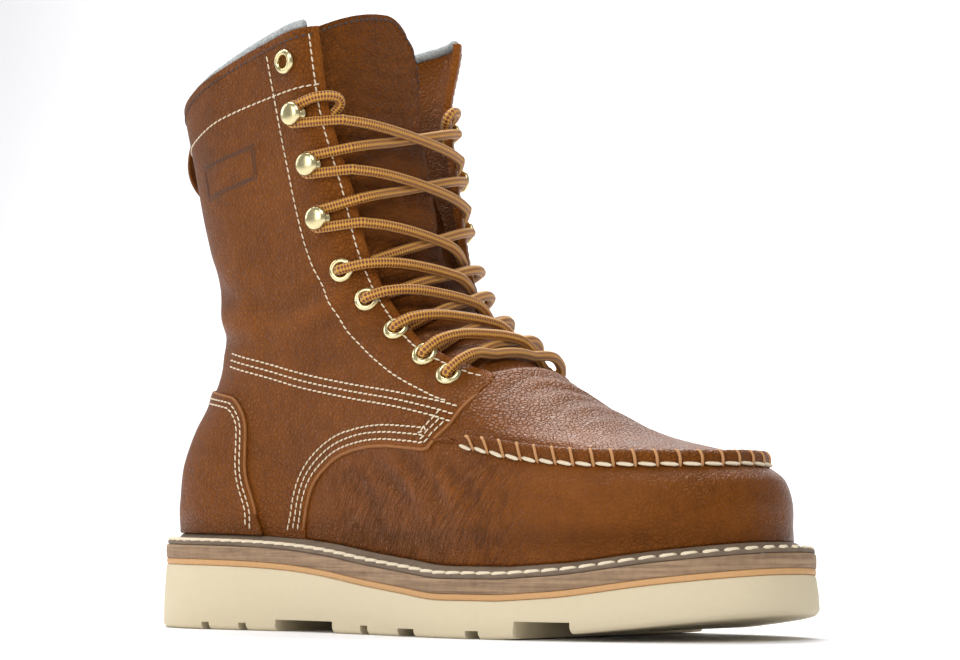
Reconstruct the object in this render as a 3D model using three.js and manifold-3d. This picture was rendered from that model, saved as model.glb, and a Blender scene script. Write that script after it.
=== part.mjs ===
// Wedge sole work boot, right foot, with a moc toe and an eight inch laced shaft.
// Millimetres. +X is the toe, +Y the inner side of the foot, -Y the outer side, +Z up.
// The origin is on the floor, at the middle of the sole's length and width.
import * as THREE from "three";
import Module from "manifold-3d";

const wasm = await Module();
wasm.setup();

// Driving sizes
const soleLength = 302;
const ballWidth = 110;
const heelWidth = 77;
const upperHeight = 196;
const heelStack = 25.8;
const ballStack = 13.6;
const toeStack = 14.4;
const toeSpring = 9.5;
const springStart = 0.7;
const layerThickness = 2;
const midsoleThickness = 5.2;
const edgeFlare = 1.2;
const bottomChamfer = 1;
const weltLedge = 3.2;
const weltLip = 4.5;
const weltBase = 1.2;
const upperInset = 8;
const wall = 2.6;
const turnedIn = 12;
const insoleThickness = 3.6;
const quarterStep = 1.2;
const counterThickness = 1.3;
const tongueThickness = 3.4;
const tongueRise = 7;
const tongueTuck = 13;
const seamHeight = 5.2;
const seamThickness = 3.4;
const eyeletOuter = 5;
const eyeletHole = 2.5;
const eyeletBarrel = 3.1;
const eyeletHeight = 1.3;
const hookHead = 4.4;
const hookNeck = 1.6;
const hookHeight = 6.9;
const laceDiameter = 4.2;
const loopWidth = 16;
const loopThickness = 2;
const loopStandOff = 8;
const clearance = 0.3;
const metalSeat = 0.4;

// How finely the forms are cut
const ringSteps = 40;
const laceSides = 8;
const laceSteps = 6;
const turnSteps = 10;

// The sole from above: place along the length, then half widths outer and inner,
// as shares of the local width that widthAt gives
const soleRows = [
  [0.000, 0.481, 0.506],
  [0.149, 0.494, 0.506],
  [0.315, 0.479, 0.454],
  [0.464, 0.473, 0.410],
  [0.629, 0.501, 0.447],
  [0.728, 0.500, 0.500],
  [0.828, 0.464, 0.482],
  [1.000, 0.409, 0.464],
];
// End roundings of the sole: radius as a share of the heel or ball width, and fullness
const soleHeelRound = { radius: 0.545, fullness: 2.2 };
const soleToeRound = { radius: 0.655, fullness: 2.3 };

// The wedge's height above its own underside: place, then share of heel, ball and toe stack
const wedgeRows = [
  [0.00, 1.00, 0.00, 0.00],
  [0.15, 0.98, 0.00, 0.00],
  [0.24, 0.95, 0.00, 0.00],
  [0.41, 0.77, 0.00, 0.00],
  [0.53, 0.30, 0.60, 0.00],
  [0.61, 0.00, 1.02, 0.00],
  [0.70, 0.00, 1.02, 0.00],
  [0.77, 0.00, 1.00, 0.00],
  [0.90, 0.00, 0.45, 0.58],
  [1.00, 0.00, 0.00, 1.00],
];

// Channels across the tread: start and end as shares of the length, depth in millimetres
const channelRows = [
  [0.142, 0.162, 3.0],
  [0.209, 0.229, 3.0],
  [0.275, 0.394, 4.5],
  [0.446, 0.467, 3.5],
  [0.526, 0.566, 3.0],
  [0.652, 0.679, 3.0],
  [0.728, 0.811, 4.0],
];
const channelSlope = 1;

// Sections of the upper from the feather line to above the collar. Places along X are
// shares of the sole's length, rises shares of the upper's height, roundings shares of
// the heel or ball width. dip is how far the section follows the sole's own curve.
const lineColumns = ["backX", "backRise", "frontX", "frontRise", "dip", "bow",
  "heelRound", "noseRound", "noseFullness"];
const lineRows = {
  feather:  [0.022, 0.000, 0.970, 0.000, 1.0, 0.000, 0.44, 0.58, 2.3],
  swell:    [0.027, 0.056, 0.971, 0.058, 0.8, 0.000, 0.44, 0.60, 2.3],
  sidewall: [0.033, 0.123, 0.962, 0.109, 0.4, 0.000, 0.43, 0.57, 2.3],
  shoulder: [0.055, 0.209, 0.928, 0.139, 0.0, 0.000, 0.42, 0.53, 2.25],
  plugToe:  [0.065, 0.235, 0.886, 0.158, 0.0, 0.000, 0.42, 0.47, 2.1],
  plugMid:  [0.074, 0.258, 0.795, 0.188, 0.0, 0.000, 0.42, 0.45, 2.0],
  plugBack: [0.079, 0.281, 0.699, 0.249, 0.0, 0.000, 0.42, 0.45, 2.0],
  throat:   [0.088, 0.307, 0.629, 0.306, 0.0, 0.000, 0.42, 0.42, 2.0],
  instep:   [0.097, 0.342, 0.570, 0.362, 0.0, 0.000, 0.43, 0.36, 2.0],
  ankle:    [0.102, 0.383, 0.503, 0.422, 0.0, 0.000, 0.43, 0.31, 2.1],
  bend:     [0.101, 0.439, 0.454, 0.503, 0.0, 0.000, 0.44, 0.25, 2.2],
  shaft:    [0.091, 0.516, 0.424, 0.610, 0.0, 0.000, 0.47, 0.22, 2.4],
  calf:     [0.071, 0.618, 0.399, 0.753, 0.0, 0.005, 0.49, 0.20, 2.5],
  calfTop:  [0.052, 0.735, 0.379, 0.891, 0.0, 0.010, 0.52, 0.19, 2.6],
  collar:   [0.033, 0.847, 0.368, 1.013, 0.0, 0.015, 0.55, 0.18, 2.6],
  above:    [0.021, 0.918, 0.361, 1.089, 0.0, 0.015, 0.56, 0.18, 2.6],
};
const heelFullness = 2.05;
// Half widths of the same sections at six places along the length, as shares of widthAt
const widthPlaces = [0.116, 0.298, 0.464, 0.646, 0.795, 0.993];
const outerRows = {
  feather:  [0.390, 0.383, 0.389, 0.427, 0.405, 0.336],
  swell:    [0.416, 0.396, 0.410, 0.450, 0.427, 0.373],
  sidewall: [0.416, 0.409, 0.420, 0.441, 0.409, 0.350],
  shoulder: [0.396, 0.421, 0.426, 0.395, 0.350, 0.300],
  plugToe:  [0.383, 0.421, 0.420, 0.377, 0.336, 0.300],
  plugMid:  [0.377, 0.421, 0.410, 0.355, 0.327, 0.300],
  plugBack: [0.370, 0.421, 0.394, 0.336, 0.318, 0.300],
  throat:   [0.370, 0.428, 0.383, 0.318, 0.309, 0.300],
  instep:   [0.377, 0.434, 0.378, 0.318, 0.309, 0.300],
  ankle:    [0.390, 0.447, 0.378, 0.318, 0.309, 0.300],
  bend:     [0.403, 0.460, 0.383, 0.318, 0.309, 0.300],
  shaft:    [0.429, 0.479, 0.399, 0.327, 0.318, 0.309],
  calf:     [0.461, 0.504, 0.415, 0.345, 0.336, 0.327],
  calfTop:  [0.481, 0.524, 0.431, 0.364, 0.355, 0.345],
  collar:   [0.500, 0.543, 0.441, 0.373, 0.364, 0.355],
  above:    [0.506, 0.549, 0.447, 0.373, 0.364, 0.355],
};
const innerRows = {
  feather:  [0.403, 0.358, 0.326, 0.382, 0.418, 0.391],
  swell:    [0.422, 0.364, 0.347, 0.405, 0.441, 0.414],
  sidewall: [0.416, 0.377, 0.362, 0.400, 0.423, 0.391],
  shoulder: [0.396, 0.396, 0.378, 0.373, 0.373, 0.345],
  plugToe:  [0.383, 0.402, 0.378, 0.359, 0.355, 0.327],
  plugMid:  [0.377, 0.409, 0.378, 0.345, 0.336, 0.318],
  plugBack: [0.370, 0.409, 0.373, 0.327, 0.318, 0.309],
  throat:   [0.370, 0.415, 0.368, 0.314, 0.309, 0.300],
  instep:   [0.377, 0.421, 0.368, 0.309, 0.300, 0.291],
  ankle:    [0.390, 0.434, 0.368, 0.309, 0.300, 0.291],
  bend:     [0.403, 0.447, 0.378, 0.318, 0.309, 0.300],
  shaft:    [0.429, 0.472, 0.394, 0.327, 0.318, 0.309],
  calf:     [0.455, 0.498, 0.410, 0.345, 0.336, 0.327],
  calfTop:  [0.474, 0.517, 0.426, 0.364, 0.355, 0.345],
  collar:   [0.494, 0.536, 0.436, 0.373, 0.364, 0.355],
  above:    [0.500, 0.543, 0.441, 0.373, 0.364, 0.355],
};
const sectionNames = Object.keys(lineRows);
const collarSection = sectionNames.indexOf("collar");
const lastSection = sectionNames.length - 1;

// Lines drawn on the side of the upper: X as shares of the length, rises as shares of
// the upper's height above the feather line
const throatLine = [
  [0.620, 0.325], [0.583, 0.318], [0.503, 0.375], [0.447, 0.452], [0.414, 0.543],
  [0.387, 0.691], [0.361, 0.840], [0.348, 0.985], [0.340, 1.110],
];
const quarterLine = [
  [0.610, 0.370], [0.605, 0.312], [0.603, 0.268], [0.589, 0.222], [0.566, 0.181],
  [0.556, 0.165], [0.525, 0.168], [0.475, 0.173], [0.430, 0.169], [0.387, 0.155],
  [0.351, 0.128], [0.327, 0.096], [0.312, 0.051], [0.306, 0.000],
];
const counterLine = [
  [0.060, 0.290], [0.160, 0.277], [0.187, 0.262], [0.205, 0.216], [0.206, 0.124],
  [0.217, 0.069], [0.232, 0.000],
];
// The moc seam: share of the half turn from heel to toe, and the section it lies on
const seamRows = [
  [0.588, 3.60], [0.605, 3.30], [0.672, 2.85], [0.736, 2.75], [0.814, 2.80], [1.000, 3.00],
];
// Eyelets and hooks on the quarter: X and rise, from the throat up
const eyeletRows = [
  [0.556, 0.305], [0.517, 0.345], [0.467, 0.396], [0.421, 0.458], [0.387, 0.518],
];
const hookRows = [[0.361, 0.620], [0.348, 0.727], [0.328, 0.829]];
const topEyelet = [0.308, 0.936];

// Smooth curve through the rows of a table, without overshoot
function smoothCurve(xs, ys) {
  const last = xs.length - 1;
  const steps = [];
  for (let i = 0; i < last; i++) {
    steps.push((ys[i + 1] - ys[i]) / (xs[i + 1] - xs[i]));
  }
  const slopes = [steps[0]];
  for (let i = 1; i < last; i++) {
    const before = steps[i - 1];
    const after = steps[i];
    slopes.push(before * after > 0 ? 2 * before * after / (before + after) : 0);
  }
  slopes.push(steps[last - 1]);
  return (x) => {
    let i = 0;
    while (i < last - 1 && x > xs[i + 1]) {
      i++;
    }
    const width = xs[i + 1] - xs[i];
    const t = Math.min(Math.max((x - xs[i]) / width, 0), 1);
    const t2 = t * t;
    const t3 = t2 * t;
    return ys[i] * (2 * t3 - 3 * t2 + 1) + slopes[i] * width * (t3 - 2 * t2 + t)
      + ys[i + 1] * (3 * t2 - 2 * t3) + slopes[i + 1] * width * (t3 - t2);
  };
}

function column(rows, index) {
  return rows.map((row) => row[index]);
}

function smoothColumn(rows, index) {
  return smoothCurve(column(rows, 0), column(rows, index));
}

// Quarter of a fuller or slimmer ellipse: 0 at the tip, 1 from the radius on
function roundEnd(distance, fullness) {
  const d = Math.min(Math.max(distance, 0), 1);
  return Math.pow(1 - Math.pow(1 - d, fullness), 1 / fullness);
}

// Local width of the foot: the heel's at the back, the ball's from the ball on
function widthAt(place) {
  const t = Math.min(Math.max((place - 0.25) / 0.4, 0), 1);
  return heelWidth + (ballWidth - heelWidth) * t * t * (3 - 2 * t);
}

// Heights of the sole's layers
const wedgeHeel = smoothColumn(wedgeRows, 1);
const wedgeBall = smoothColumn(wedgeRows, 2);
const wedgeToe = smoothColumn(wedgeRows, 3);

function underside(place) {
  const beyond = Math.max(place - springStart, 0) / (1 - springStart);
  return toeSpring * Math.pow(beyond, 1.25);
}

function wedgeTop(place) {
  const stack = wedgeHeel(place) * heelStack + wedgeBall(place) * ballStack
    + wedgeToe(place) * toeStack;
  return underside(place) + stack;
}

function layerTop(place) {
  return wedgeTop(place) + clearance + layerThickness;
}

function midsoleTop(place) {
  return layerTop(place) + clearance + midsoleThickness;
}

function featherHeight(place) {
  return midsoleTop(place) + weltLip;
}

const soleOuter = smoothColumn(soleRows, 1);
const soleInner = smoothColumn(soleRows, 2);

// Point on the sole's edge; turn goes from the heel over the outer side to the toe and back
function soleEdge(turn) {
  const outer = turn <= 1;
  const along = outer ? turn : 2 - turn;
  const place = (1 - Math.cos(Math.PI * along)) / 2;
  const x = place * soleLength;
  const heel = roundEnd(x / (soleHeelRound.radius * heelWidth), soleHeelRound.fullness);
  const toe = roundEnd((soleLength - x) / (soleToeRound.radius * ballWidth), soleToeRound.fullness);
  const share = outer ? soleOuter(place) : soleInner(place);
  const y = share * widthAt(place) * heel * toe;
  return new THREE.Vector2(x - soleLength / 2, outer ? -y : y);
}

function soleInsetEdge(turn, inset) {
  const step = 0.004;
  const here = soleEdge(turn);
  const before = soleEdge((turn - step + 2) % 2);
  const after = soleEdge((turn + step) % 2);
  const tangent = after.sub(before).normalize();
  return new THREE.Vector2(here.x - tangent.y * inset, here.y + tangent.x * inset);
}

function placeOf(x) {
  return Math.min(Math.max(x / soleLength + 0.5, 0), 1);
}

// One ring of points at an inset from the sole's edge, at a height that follows the sole
function soleRing(inset, height) {
  const ring = [];
  for (let i = 0; i < ringSteps; i++) {
    const p = soleInsetEdge(2 * i / ringSteps, inset);
    ring.push(new THREE.Vector3(p.x, p.y, height(placeOf(p.x))));
  }
  return ring;
}

// Closed solid through rings of equal count, from the bottom up, or round a closed profile
function loft(rings, closedProfile = false) {
  const count = rings[0].length;
  const half = count / 2;
  const positions = rings.flat().flatMap((p) => [p.x, p.y, p.z]);
  const index = [];
  const quad = (a, b, c, d) => index.push(a, b, c, a, c, d);
  const bands = closedProfile ? rings.length : rings.length - 1;
  for (let r = 0; r < bands; r++) {
    const low = r * count;
    const high = ((r + 1) % rings.length) * count;
    for (let i = 0; i < count; i++) {
      const next = (i + 1) % count;
      quad(low + i, low + next, high + next, high + i);
    }
  }
  if (!closedProfile) {
    const top = (rings.length - 1) * count;
    index.push(top, top + 1, top + count - 1, 1, 0, count - 1);
    index.push(top + half - 1, top + half, top + half + 1, half, half - 1, half + 1);
    for (let i = 1; i < half - 1; i++) {
      quad(top + i, top + i + 1, top + count - i - 1, top + count - i);
      quad(i + 1, i, count - i, count - i - 1);
    }
  }
  const geometry = new THREE.BufferGeometry();
  geometry.setAttribute("position", new THREE.Float32BufferAttribute(positions, 3));
  geometry.setIndex(index);
  return geometry;
}

// Merge points that share a place, so that the boolean tool sees one closed skin
function mergedIndex(geometry) {
  const source = geometry.getAttribute("position");
  const order = geometry.index ? Array.from(geometry.index.array) : [...Array(source.count).keys()];
  const seen = new Map();
  const points = [];
  const triangles = order.map((i) => {
    const key = [source.getX(i), source.getY(i), source.getZ(i)].map((v) => v.toFixed(4)).join();
    if (!seen.has(key)) {
      seen.set(key, points.length / 3);
      points.push(source.getX(i), source.getY(i), source.getZ(i));
    }
    return seen.get(key);
  });
  const kept = [];
  for (let t = 0; t < triangles.length; t += 3) {
    const [a, b, c] = triangles.slice(t, t + 3);
    if (a !== b && b !== c && c !== a) {
      kept.push(a, b, c);
    }
  }
  return { points, kept };
}

function solid(geometry) {
  const { points, kept } = mergedIndex(geometry);
  return new wasm.Manifold(new wasm.Mesh({
    numProp: 3,
    vertProperties: new Float32Array(points),
    triVerts: new Uint32Array(kept),
  }));
}

function geometryOf(manifold) {
  const mesh = manifold.getMesh();
  const geometry = new THREE.BufferGeometry();
  geometry.setAttribute("position", new THREE.BufferAttribute(mesh.vertProperties, 3));
  geometry.setIndex(new THREE.BufferAttribute(mesh.triVerts, 1));
  return geometry;
}

// Block right across the boot whose side view is the given list of [x, z]
function sideBlock(outline, halfWidth = 2 * ballWidth) {
  const shape = new THREE.Shape(outline.map(([x, z]) => new THREE.Vector2(x, z)));
  const geometry = new THREE.ExtrudeGeometry(shape, { depth: 2 * halfWidth, bevelEnabled: false });
  geometry.rotateX(Math.PI / 2);
  geometry.translate(0, halfWidth, 0);
  return solid(geometry);
}

// The upper's form, as lines and half widths that run smoothly from section to section
const sectionSteps = sectionNames.map((name, i) => i);
const lineCurves = Object.fromEntries(lineColumns.map((name, i) =>
  [name, smoothCurve(sectionSteps, sectionNames.map((section) => lineRows[section][i]))]));
const outerCurves = widthPlaces.map((place, i) =>
  smoothCurve(sectionSteps, sectionNames.map((section) => outerRows[section][i])));
const innerCurves = widthPlaces.map((place, i) =>
  smoothCurve(sectionSteps, sectionNames.map((section) => innerRows[section][i])));

// Height of the plain line between the feather line's ends, and the sole's dip below it
function featherChord(place) {
  return featherHeight(0) + (featherHeight(1) - featherHeight(0)) * place;
}

const sectionCache = new Map();
function sectionAt(section) {
  if (!sectionCache.has(section)) {
    const line = {};
    for (const name of lineColumns) {
      line[name] = lineCurves[name](section);
    }
    line.outer = smoothCurve(widthPlaces, outerCurves.map((curve) => curve(section)));
    line.inner = smoothCurve(widthPlaces, innerCurves.map((curve) => curve(section)));
    sectionCache.set(section, line);
  }
  return sectionCache.get(section);
}

// Height of a section above the floor, at a share t of the way from its back to its front
function sectionHeight(line, place, t) {
  const chord = featherChord(place);
  const rise = line.backRise + (line.frontRise - line.backRise) * t + 4 * line.bow * t * (1 - t);
  return chord + line.dip * (featherHeight(place) - chord) + rise * upperHeight;
}

// Point of the form on a section; turn runs 0 to 1 over the outer side, 1 to 2 back inside
function formPoint(section, turn) {
  const line = sectionAt(section);
  const outer = turn <= 1;
  const along = outer ? turn : 2 - turn;
  const t = (1 - Math.cos(Math.PI * along)) / 2;
  const place = line.backX + (line.frontX - line.backX) * t;
  const toBack = (place - line.backX) * soleLength / (line.heelRound * heelWidth);
  const toFront = (line.frontX - place) * soleLength / (line.noseRound * ballWidth);
  const share = outer ? line.outer(place) : line.inner(place);
  const y = share * widthAt(place) * roundEnd(toBack, heelFullness)
    * roundEnd(toFront, line.noseFullness);
  const point = new THREE.Vector3((place - 0.5) * soleLength, outer ? -y : y, 0);
  if (section < 1) {
    const foot = soleInsetEdge(turn, upperInset);
    const follow = 1 - THREE.MathUtils.smoothstep(section, 0, 1);
    point.lerp(new THREE.Vector3(foot.x, foot.y, 0), follow);
  }
  point.z = sectionHeight(line, placeOf(point.x), t);
  return point;
}

function formNormal(section, turn) {
  const step = 0.01;
  const low = Math.max(section - step, 0);
  const high = Math.min(section + step, lastSection);
  const up = formPoint(high, turn).sub(formPoint(low, turn));
  const around = formPoint(section, (turn + step) % 2).sub(formPoint(section, (turn - step + 2) % 2));
  return around.cross(up).normalize();
}

function skinPoint(section, turn, offset) {
  return formPoint(section, turn).addScaledVector(formNormal(section, turn), offset);
}

function skinRing(section, offset) {
  const ring = [];
  for (let i = 0; i < ringSteps; i++) {
    ring.push(skinPoint(section, 2 * i / ringSteps, offset));
  }
  return ring;
}

// Section and turn of a side-view point on the outer (-1) or inner (+1) side
function locate(x, rise, side) {
  const heightAt = (section) => {
    const line = sectionAt(section);
    const t = (x - line.backX) / (line.frontX - line.backX);
    return sectionHeight(line, x, t) - featherChord(x);
  };
  let low = 0;
  let high = lastSection;
  for (let i = 0; i < 30; i++) {
    const middle = (low + high) / 2;
    if (heightAt(middle) < rise * upperHeight) {
      low = middle;
    } else {
      high = middle;
    }
  }
  const line = sectionAt(low);
  const t = Math.min(Math.max((x - line.backX) / (line.frontX - line.backX), 0), 1);
  const along = Math.acos(1 - 2 * t) / Math.PI;
  return { section: low, turn: side < 0 ? along : 2 - along };
}


// Filled form of the upper at an offset, from the feather line to the given section
function filledForm(offset, lastOne, lowerRings = []) {
  const sections = sectionSteps.filter((section) => section <= lastOne);
  return solid(loft([...lowerRings, ...sections.map((section) => skinRing(section, offset))]));
}

function sideLine(rows) {
  return rows.map(([x, rise]) => [(x - 0.5) * soleLength, featherChord(x) + rise * upperHeight]);
}

// Sole pieces
function makeOutsole() {
  const bottom = (place) => underside(place);
  const chamfer = (place) => underside(place) + bottomChamfer;
  const body = solid(loft([
    soleRing(bottomChamfer - edgeFlare, bottom),
    soleRing(-edgeFlare, chamfer),
    soleRing(0, wedgeTop),
  ]));
  return channelRows.reduce((outsole, [from, to, depth]) => {
    const low = -heelStack;
    const start = (from - 0.5) * soleLength;
    const end = (to - 0.5) * soleLength;
    const roof = [underside(from) + depth, underside(to) + depth];
    return outsole.subtract(sideBlock([
      [start - channelSlope, low], [end + channelSlope, low],
      [end - channelSlope, roof[1]], [start + channelSlope, roof[0]],
    ]));
  }, body);
}

function makeLayer(bottom, top) {
  return solid(loft([soleRing(0, (place) => bottom(place) + clearance), soleRing(0, top)]));
}

function aboveMidsole(height) {
  return (place) => midsoleTop(place) + height;
}

const flangeBottom = clearance + weltBase + clearance;
const flangeTop = flangeBottom + wall;

function makeWelt() {
  const foot = weltLedge;
  const lipInside = upperInset - clearance;
  const lipTop = weltLip - clearance;
  return solid(loft([
    soleRing(foot, aboveMidsole(clearance)),
    soleRing(foot, aboveMidsole(clearance + weltBase * 0.7)),
    soleRing(foot + 1.4, aboveMidsole(clearance + weltBase)),
    soleRing(lipInside - 1.2, aboveMidsole(lipTop)),
    soleRing(lipInside, aboveMidsole(lipTop)),
    soleRing(lipInside, aboveMidsole(clearance + weltBase)),
    soleRing(upperInset + turnedIn, aboveMidsole(clearance + weltBase)),
    soleRing(upperInset + turnedIn, aboveMidsole(clearance)),
  ], true));
}

function makeInsole() {
  const plug = upperInset + turnedIn + clearance;
  const edge = upperInset + wall + clearance;
  const seat = flangeTop + clearance;
  return solid(loft([
    soleRing(plug, aboveMidsole(clearance)),
    soleRing(plug, aboveMidsole(seat)),
    soleRing(edge, aboveMidsole(seat)),
    soleRing(edge, aboveMidsole(seat + insoleThickness - 1)),
    soleRing(edge + 1, aboveMidsole(seat + insoleThickness)),
  ]));
}

// Side-view blocks that cut the upper's pieces
function throatBlock(tuck = 0) {
  const line = sideLine(throatLine).map(([x, z]) => [x - tuck, z]);
  const far = soleLength;
  const top = featherHeight(0) + 2 * upperHeight;
  return sideBlock([...line, [line.at(-1)[0], top], [far, top], [far, line[0][1] + tuck]]);
}

// Region behind a line on the side, down to just above the welt's lip
function blockBehind(rows, topHeight) {
  const far = -soleLength;
  const lastPlace = rows.at(-1)[0];
  const lip = 2 * clearance;
  const foot = [1, 0.75, 0.5, 0.25, 0].map((share) => {
    const place = lastPlace * share;
    return [(place - 0.5) * soleLength, featherHeight(place) + lip];
  });
  const line = sideLine(rows);
  return sideBlock([[far, topHeight], [line[0][0], topHeight], ...line.slice(0, -1), ...foot,
    [far, featherHeight(0) + lip]].reverse());
}

function quarterBlock() {
  return blockBehind(quarterLine, featherHeight(0) + 2 * upperHeight);
}

// Region of the quarters right down to the floor, grown forward and down by a gap
function quarterRegion(gap) {
  const low = -heelStack;
  const top = featherHeight(0) + 2 * upperHeight;
  const line = sideLine(quarterLine).map(([x, z]) => [x + gap, z - gap]);
  return sideBlock([
    [-soleLength, top], [line[0][0], top], ...line, [line.at(-1)[0], low], [-soleLength, low],
  ].reverse());
}

function counterBlock() {
  return blockBehind(counterLine, sideLine(counterLine)[0][1] + 0.01);
}

function holeAt([x, rise], side, radius, depth) {
  const spot = seat(x, rise, side, quarterStep);
  const geometry = new THREE.CylinderGeometry(radius, radius, 2 * depth, turnSteps);
  geometry.rotateX(Math.PI / 2);
  geometry.applyMatrix4(spot);
  return solid(geometry);
}

// Place on the skin with its normal as the local Z
function seat(x, rise, side, offset) {
  const { section, turn } = locate(x, rise, side);
  const point = skinPoint(section, turn, offset);
  const normal = formNormal(section, turn);
  const turned = new THREE.Quaternion().setFromUnitVectors(new THREE.Vector3(0, 0, 1), normal);
  return new THREE.Matrix4().compose(point, turned, new THREE.Vector3(1, 1, 1));
}

const allEyelets = [...eyeletRows, topEyelet];

// The upper is cut into the quarters, with the shaft and the heel, and the vamp with the plug
function makeUpper() {
  const underFeather = (inset, height) => soleRing(inset, aboveMidsole(height));
  const lower = [
    underFeather(upperInset + 1.2, flangeBottom),
    underFeather(upperInset, flangeBottom + 1),
  ];
  const vamp = filledForm(0, collarSection, lower);
  const quarter = filledForm(quarterStep, collarSection).intersect(quarterBlock());
  const cavity = filledForm(-wall, lastSection, [
    underFeather(upperInset + turnedIn, -midsoleThickness),
    underFeather(upperInset + turnedIn, flangeTop),
    underFeather(upperInset + wall, flangeTop),
  ]);
  let upper = vamp.add(quarter).subtract(cavity).subtract(throatBlock());
  for (const side of [-1, 1]) {
    for (const row of allEyelets) {
      upper = upper.subtract(holeAt(row, side, eyeletBarrel + 0.5, 2 * wall));
    }
  }
  return {
    quarters: upper.intersect(quarterRegion(0)),
    vamp: upper.subtract(quarterRegion(clearance)),
  };
}

function makeTongue() {
  const top = wall + clearance;
  const outer = filledForm(-top, lastSection);
  const inner = filledForm(-top - tongueThickness, lastSection);
  const line = sideLine(throatLine);
  const collarFront = line.at(-2)[1];
  const side = line.slice(1, -1).map(([x, z]) => [x - tongueTuck, z]);
  const end = line[0];
  const block = sideBlock([
    [end[0] + tongueTuck, end[1] - 2 * tongueTuck], [end[0] + 3 * tongueTuck, end[1]],
    [end[0] + 3 * tongueTuck, collarFront + tongueRise],
    [line.at(-2)[0], collarFront + tongueRise], ...side.reverse(),
  ]);
  return outer.subtract(inner).intersect(block);
}

function makeCounter() {
  const low = quarterStep + clearance;
  const shell = filledForm(low + counterThickness, 8).subtract(filledForm(low, 8));
  return shell.intersect(counterBlock());
}

// Raised moc seam: a band that stands on the skin all round the toe
function makeMocSeam() {
  const seamCurve = smoothColumn(seamRows, 1);
  const from = seamRows[0][0];
  const steps = ringSteps;
  const rings = [];
  for (let i = 0; i <= steps; i++) {
    const turn = from + (2 - 2 * from) * i / steps;
    const section = seamCurve(turn <= 1 ? turn : 2 - turn);
    const pitch = formPoint(section + 0.1, turn).distanceTo(formPoint(section - 0.1, turn)) / 0.2;
    const half = seamThickness / 2 / pitch;
    const lift = new THREE.Vector3(0, 0, 1).add(formNormal(section, turn)).normalize();
    const corner = (away, high) =>
      skinPoint(section - away * half, turn, 2 * clearance).addScaledVector(lift, high);
    rings.push([
      corner(1, 0), corner(1, seamHeight * 0.8), corner(0, seamHeight),
      corner(-1, seamHeight * 0.8), corner(-1, 0),
    ]);
  }
  return stack(rings);
}

// Closed solid from a run of convex outlines, with flat fans at both ends
function stack(rings) {
  const count = rings[0].length;
  const positions = rings.flat().flatMap((p) => [p.x, p.y, p.z]);
  const index = [];
  for (let r = 0; r < rings.length - 1; r++) {
    for (let i = 0; i < count; i++) {
      const next = (i + 1) % count;
      const low = r * count;
      const high = low + count;
      index.push(low + i, low + next, high + next, low + i, high + next, high + i);
    }
  }
  const last = (rings.length - 1) * count;
  for (let i = 1; i < count - 1; i++) {
    index.push(0, i + 1, i, last, last + i, last + i + 1);
  }
  const geometry = new THREE.BufferGeometry();
  geometry.setAttribute("position", new THREE.Float32BufferAttribute(positions, 3));
  geometry.setIndex(index);
  const made = solid(geometry);
  return made.volume() < 0 ? solid(flipped(geometry)) : made;
}

function flipped(geometry) {
  const order = Array.from(geometry.index.array);
  for (let i = 0; i < order.length; i += 3) {
    [order[i], order[i + 1]] = [order[i + 1], order[i]];
  }
  const turned = geometry.clone();
  turned.setIndex(order);
  return turned;
}

// Pull loop: a strap that stands off the back seam below the collar
function makePullLoop() {
  const backAt = (section) => skinPoint(section, 0, quarterStep + clearance);
  const top = backAt(collarSection - 0.05);
  const bottom = backAt(collarSection - 1.35);
  const length = top.distanceTo(bottom);
  const away = new THREE.Vector3().subVectors(top, bottom).cross(new THREE.Vector3(0, 1, 0));
  away.normalize();
  away.multiplyScalar(away.x < 0 ? 1 : -1);
  const outlinePoint = (t, height) => {
    const p = new THREE.Vector3().lerpVectors(bottom, top, t).addScaledVector(away, height);
    return [p.x, p.z];
  };
  const bulge = (t) => loopStandOff * Math.pow(Math.sin(Math.PI * t), 0.7);
  const steps = 10;
  const outside = [];
  const inside = [];
  const tab = 5 / length;
  for (let i = 0; i <= steps; i++) {
    const t = i / steps;
    outside.push(outlinePoint(t, bulge(t) + loopThickness));
    if (t > tab && t < 1 - tab) {
      inside.push(outlinePoint(t, bulge(t) * 0.95 - 0.1));
    }
  }
  const feet = [outlinePoint(1, 0.2), outlinePoint(1 - tab, 0.2)];
  const lowFeet = [outlinePoint(tab, 0.2), outlinePoint(0, 0.2)];
  return sideBlock([...outside, ...feet, ...inside.reverse(), ...lowFeet], loopWidth / 2);
}

// Turned metal pieces, axis along local Z, foot on the leather
function turned(profile) {
  const points = profile.map(([r, z]) => new THREE.Vector2(r, z));
  const geometry = new THREE.LatheGeometry(points, turnSteps);
  geometry.rotateX(Math.PI / 2);
  return geometry;
}

function eyeletGeometry() {
  const low = clearance;
  const high = clearance + eyeletHeight;
  return turned([
    [eyeletHole, -wall * 0.7], [eyeletBarrel, -wall * 0.7], [eyeletBarrel, low],
    [eyeletOuter, low], [eyeletOuter * 0.86, high], [eyeletHole, high - 0.2],
    [eyeletHole, -wall * 0.7],
  ]);
}

function hookGeometry() {
  const plate = hookHead * 0.85;
  return turned([
    [0, clearance], [plate, clearance], [plate, clearance + 0.8], [hookNeck, clearance + 1.3],
    [hookNeck, hookHeight - 2.6], [hookHead, hookHeight - 2.2], [hookHead * 0.9, hookHeight - 0.8],
    [hookHead * 0.5, hookHeight], [0, hookHeight],
  ]);
}

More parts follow.
